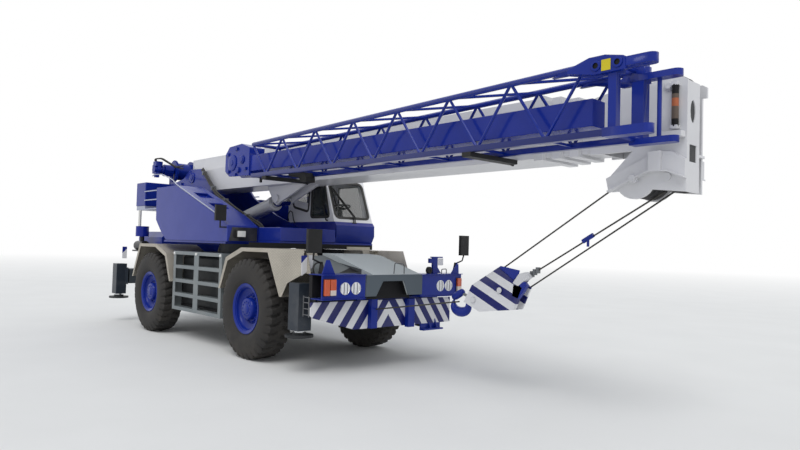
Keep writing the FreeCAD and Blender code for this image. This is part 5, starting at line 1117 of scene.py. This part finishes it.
# Hook block. Two thick cheek plates over the sheaves, cut, welded and sprayed white with slanting
# blue bands; rope stop, guards and clamps bolted on, and a forged blue hook in its cross head.
BAND_RISE, BAND_RUN = 0.912, 0.409
BAND_START, BAND_PITCH, BLUE_SHARE = 3.295, 0.189, 0.48
CHEEKS_FROM, CHEEKS_TO = 4.35, 5.05
FAR_CHEEK_IN = 0.55
BOWL_X, BOWL_Z = 5.083, 1.030
BOWL_HALF_W, BOWL_TOP_R, BOWL_FLATTER = .126, .120, .022
block_paint = paint("block_paint", (0.76, 0.76, 0.78), "white_paint", dirt=0.22)
lean_up = block_paint.at("X") * BAND_RUN + block_paint.at("Z") * BAND_RISE
banded = (((lean_up - BAND_START) / BAND_PITCH) % 1.0 < BLUE_SHARE) * (lean_up > 3.25)
masked(block_paint, (0.70, 0.70, 0.72), BAND_BLUE, banded, 0.25, 2.0)


def thinner(points):
    """Brings the far cheek in towards the near one and ends both square to the bands, at places counted
    along them."""
    far = np.maximum(points[:, 1] + .05, 0) * FAR_CHEEK_IN
    along = points[:, 0] * BAND_RISE - points[:, 2] * BAND_RUN
    excess = along - np.clip(along, CHEEKS_FROM, CHEEKS_TO)
    return points - np.c_[excess * BAND_RISE, far, excess * -BAND_RUN]


from_cad("block_cheeks", block_paint, "hook_tackle", "hook_block", 0.005, shift=thinner)
becket_line = [(5.99, 1.350), (6.072, 1.459), (6.173, 1.486), (6.226, 1.425), (6.139, 1.375), (6.067, 1.320)]
piece("rope_becket", plate(becket_line, "Y", -.155, -.085), white_paint, "hook_tackle", edge=0.006)
stop_line = [(5.995, 1.335), (6.067, 1.335), (6.139, 1.381), (6.182, 1.336), (6.132, 1.256), (6.065, 1.175),
             (5.98, 1.20)]
guard_line = [(5.699, 1.463), (5.799, 1.539), (6.078, 1.499), (6.059, 1.441), (5.959, 1.357), (5.90, 1.35)]
guards = joined(plate(stop_line, "Y", -.150, -.09), plate(guard_line, "Y", -.140, -.128))
piece("sheave_guards", guards, deep_blue, "hook_tackle", edge=0.006)
clamps = [block((x - .016, -.075, z - .034), (x + .016, -.022, z + .034))
          for x, z in ((6.185, 1.462), (6.222, 1.486), (6.262, 1.508))]
piece("rope_clamps", joined(*clamps), steel_clip, "hook_tackle", edge=0.003)
bosses = [right_disc([(0, 0), (0, .034), (.008, .034), (.012, .028), (.012, 0)], x, .160, z)
          for x, z in ((5.413, 1.113), (5.81, 1.256))]
piece("block_pin_heads", joined(*bosses), white_paint, "hook_tackle", edge=0.001)
sweep = np.radians(np.linspace(392, 158, 44))
low_share = np.clip(-np.sin(sweep), 0, 1)
bowl_r = BOWL_TOP_R - BOWL_FLATTER * low_share
bowl_line = np.c_[BOWL_X + BOWL_HALF_W * np.cos(sweep), 0 * sweep, BOWL_Z + bowl_r * np.sin(sweep)]
hook_line = np.concatenate([[(5.300, 0, 1.165), (5.265, 0, 1.150), (5.225, 0, 1.125)], bowl_line[2:]])
bowl_thick = np.interp(low_share, [0, 1], [.036, .062])[2:-6]
hook_thick = np.r_[.036, .036, .038, bowl_thick, .034, .031, .027, .022, .016, .010]
horn_line = [(4.950, 0, 1.098), (4.956, 0, 1.102), (4.99, 0, 1.12), (5.05, 0, 1.155), (5.11, 0, 1.188),
             (5.125, 0, 1.196)]
forged = joined(tube(hook_line, hook_thick, 20), tube(horn_line, [.012, .036, .046, .048, .040, .018], 20))
piece("forged_hook", forged, blue_paint, "hook_tackle", "hook", crease=60)
latch_line = [(5.215, 1.150), (5.20, 1.120), (5.10, 1.150), (5.105, 1.178)]
piece("safety_latch", plate(latch_line, "Y", -.016, .016), steel_clip, "hook_tackle", edge=0.003)


# Hoist ropes. Greased steel wire rope, six strands laid round a core, reeved from the head's sheaves
# to the block; a small split weight is clamped on one fall, and a lashing holds the hook on the road.
FALL_R = .009
STRAND_PAIRS, STRAND_SHARE = 3, 0.16


def laid_rope(start, end, radius=FALL_R, lay=0.11, ring=0.012, sides=24):
    """Point(i, turn) = line(i) + radius * (0.84 + 0.16 * |cos 3(turn - twist(i))|) * (cos turn, sin turn)
    across it, the twist making one round in every lay."""
    start, end = np.array(start, float), np.array(end, float)
    length = float(np.linalg.norm(end - start))
    ahead = (end - start) / length
    one = np.cross(ahead, (0, 1, 0))
    two = np.cross(ahead, one)
    place = np.linspace(0, length, int(length / ring))[:, None]
    turn = full_turn(sides)[None, :]
    strand = np.abs(np.cos(STRAND_PAIRS * (turn - 2 * np.pi * place / lay)))
    reach = radius * (1 - STRAND_SHARE + STRAND_SHARE * strand)[..., None]
    around = np.cos(turn)[..., None] * one + np.sin(turn)[..., None] * two
    points = start + place[..., None] * ahead + reach * around
    rows = points.shape[0]
    caps = [list(range(sides)), list(range((rows - 1) * sides, rows * sides))]
    return points.reshape(-1, 3), grid_faces(rows, sides, False, True) + caps


# Each fall: its place across, then x and z at the block and at the head.
FALLS = ((-.045, 5.65, 1.435, 7.34, 2.494), (.045, 5.60, 1.444, 7.31, 2.516),
         (-.045, 6.12, 1.426, 7.70, 2.333), (.045, 5.95, 1.213, 7.78, 2.353))
falls = [laid_rope((x, y, z), (head_x, y, head_z)) for y, x, z, head_x, head_z in FALLS]
piece("laid_ropes", joined(*falls), wire, "hook_tackle", "hoist_ropes", crease=70)
weight = joined(tube([(6.82, -.045, 1.839), (6.94, -.045, 1.909)], .025),
                tube([(6.88, -.045, 1.87), (6.88, -.045, 1.785)], .014))
piece("rope_weight", weight, blue_paint, "hook_tackle", crease=50)
lashing = laid_rope((3.802, -.305, .862), (5.055, 0, 1.058), .010)
piece("travel_lashing", lashing, wire, "hook_tackle", crease=70)
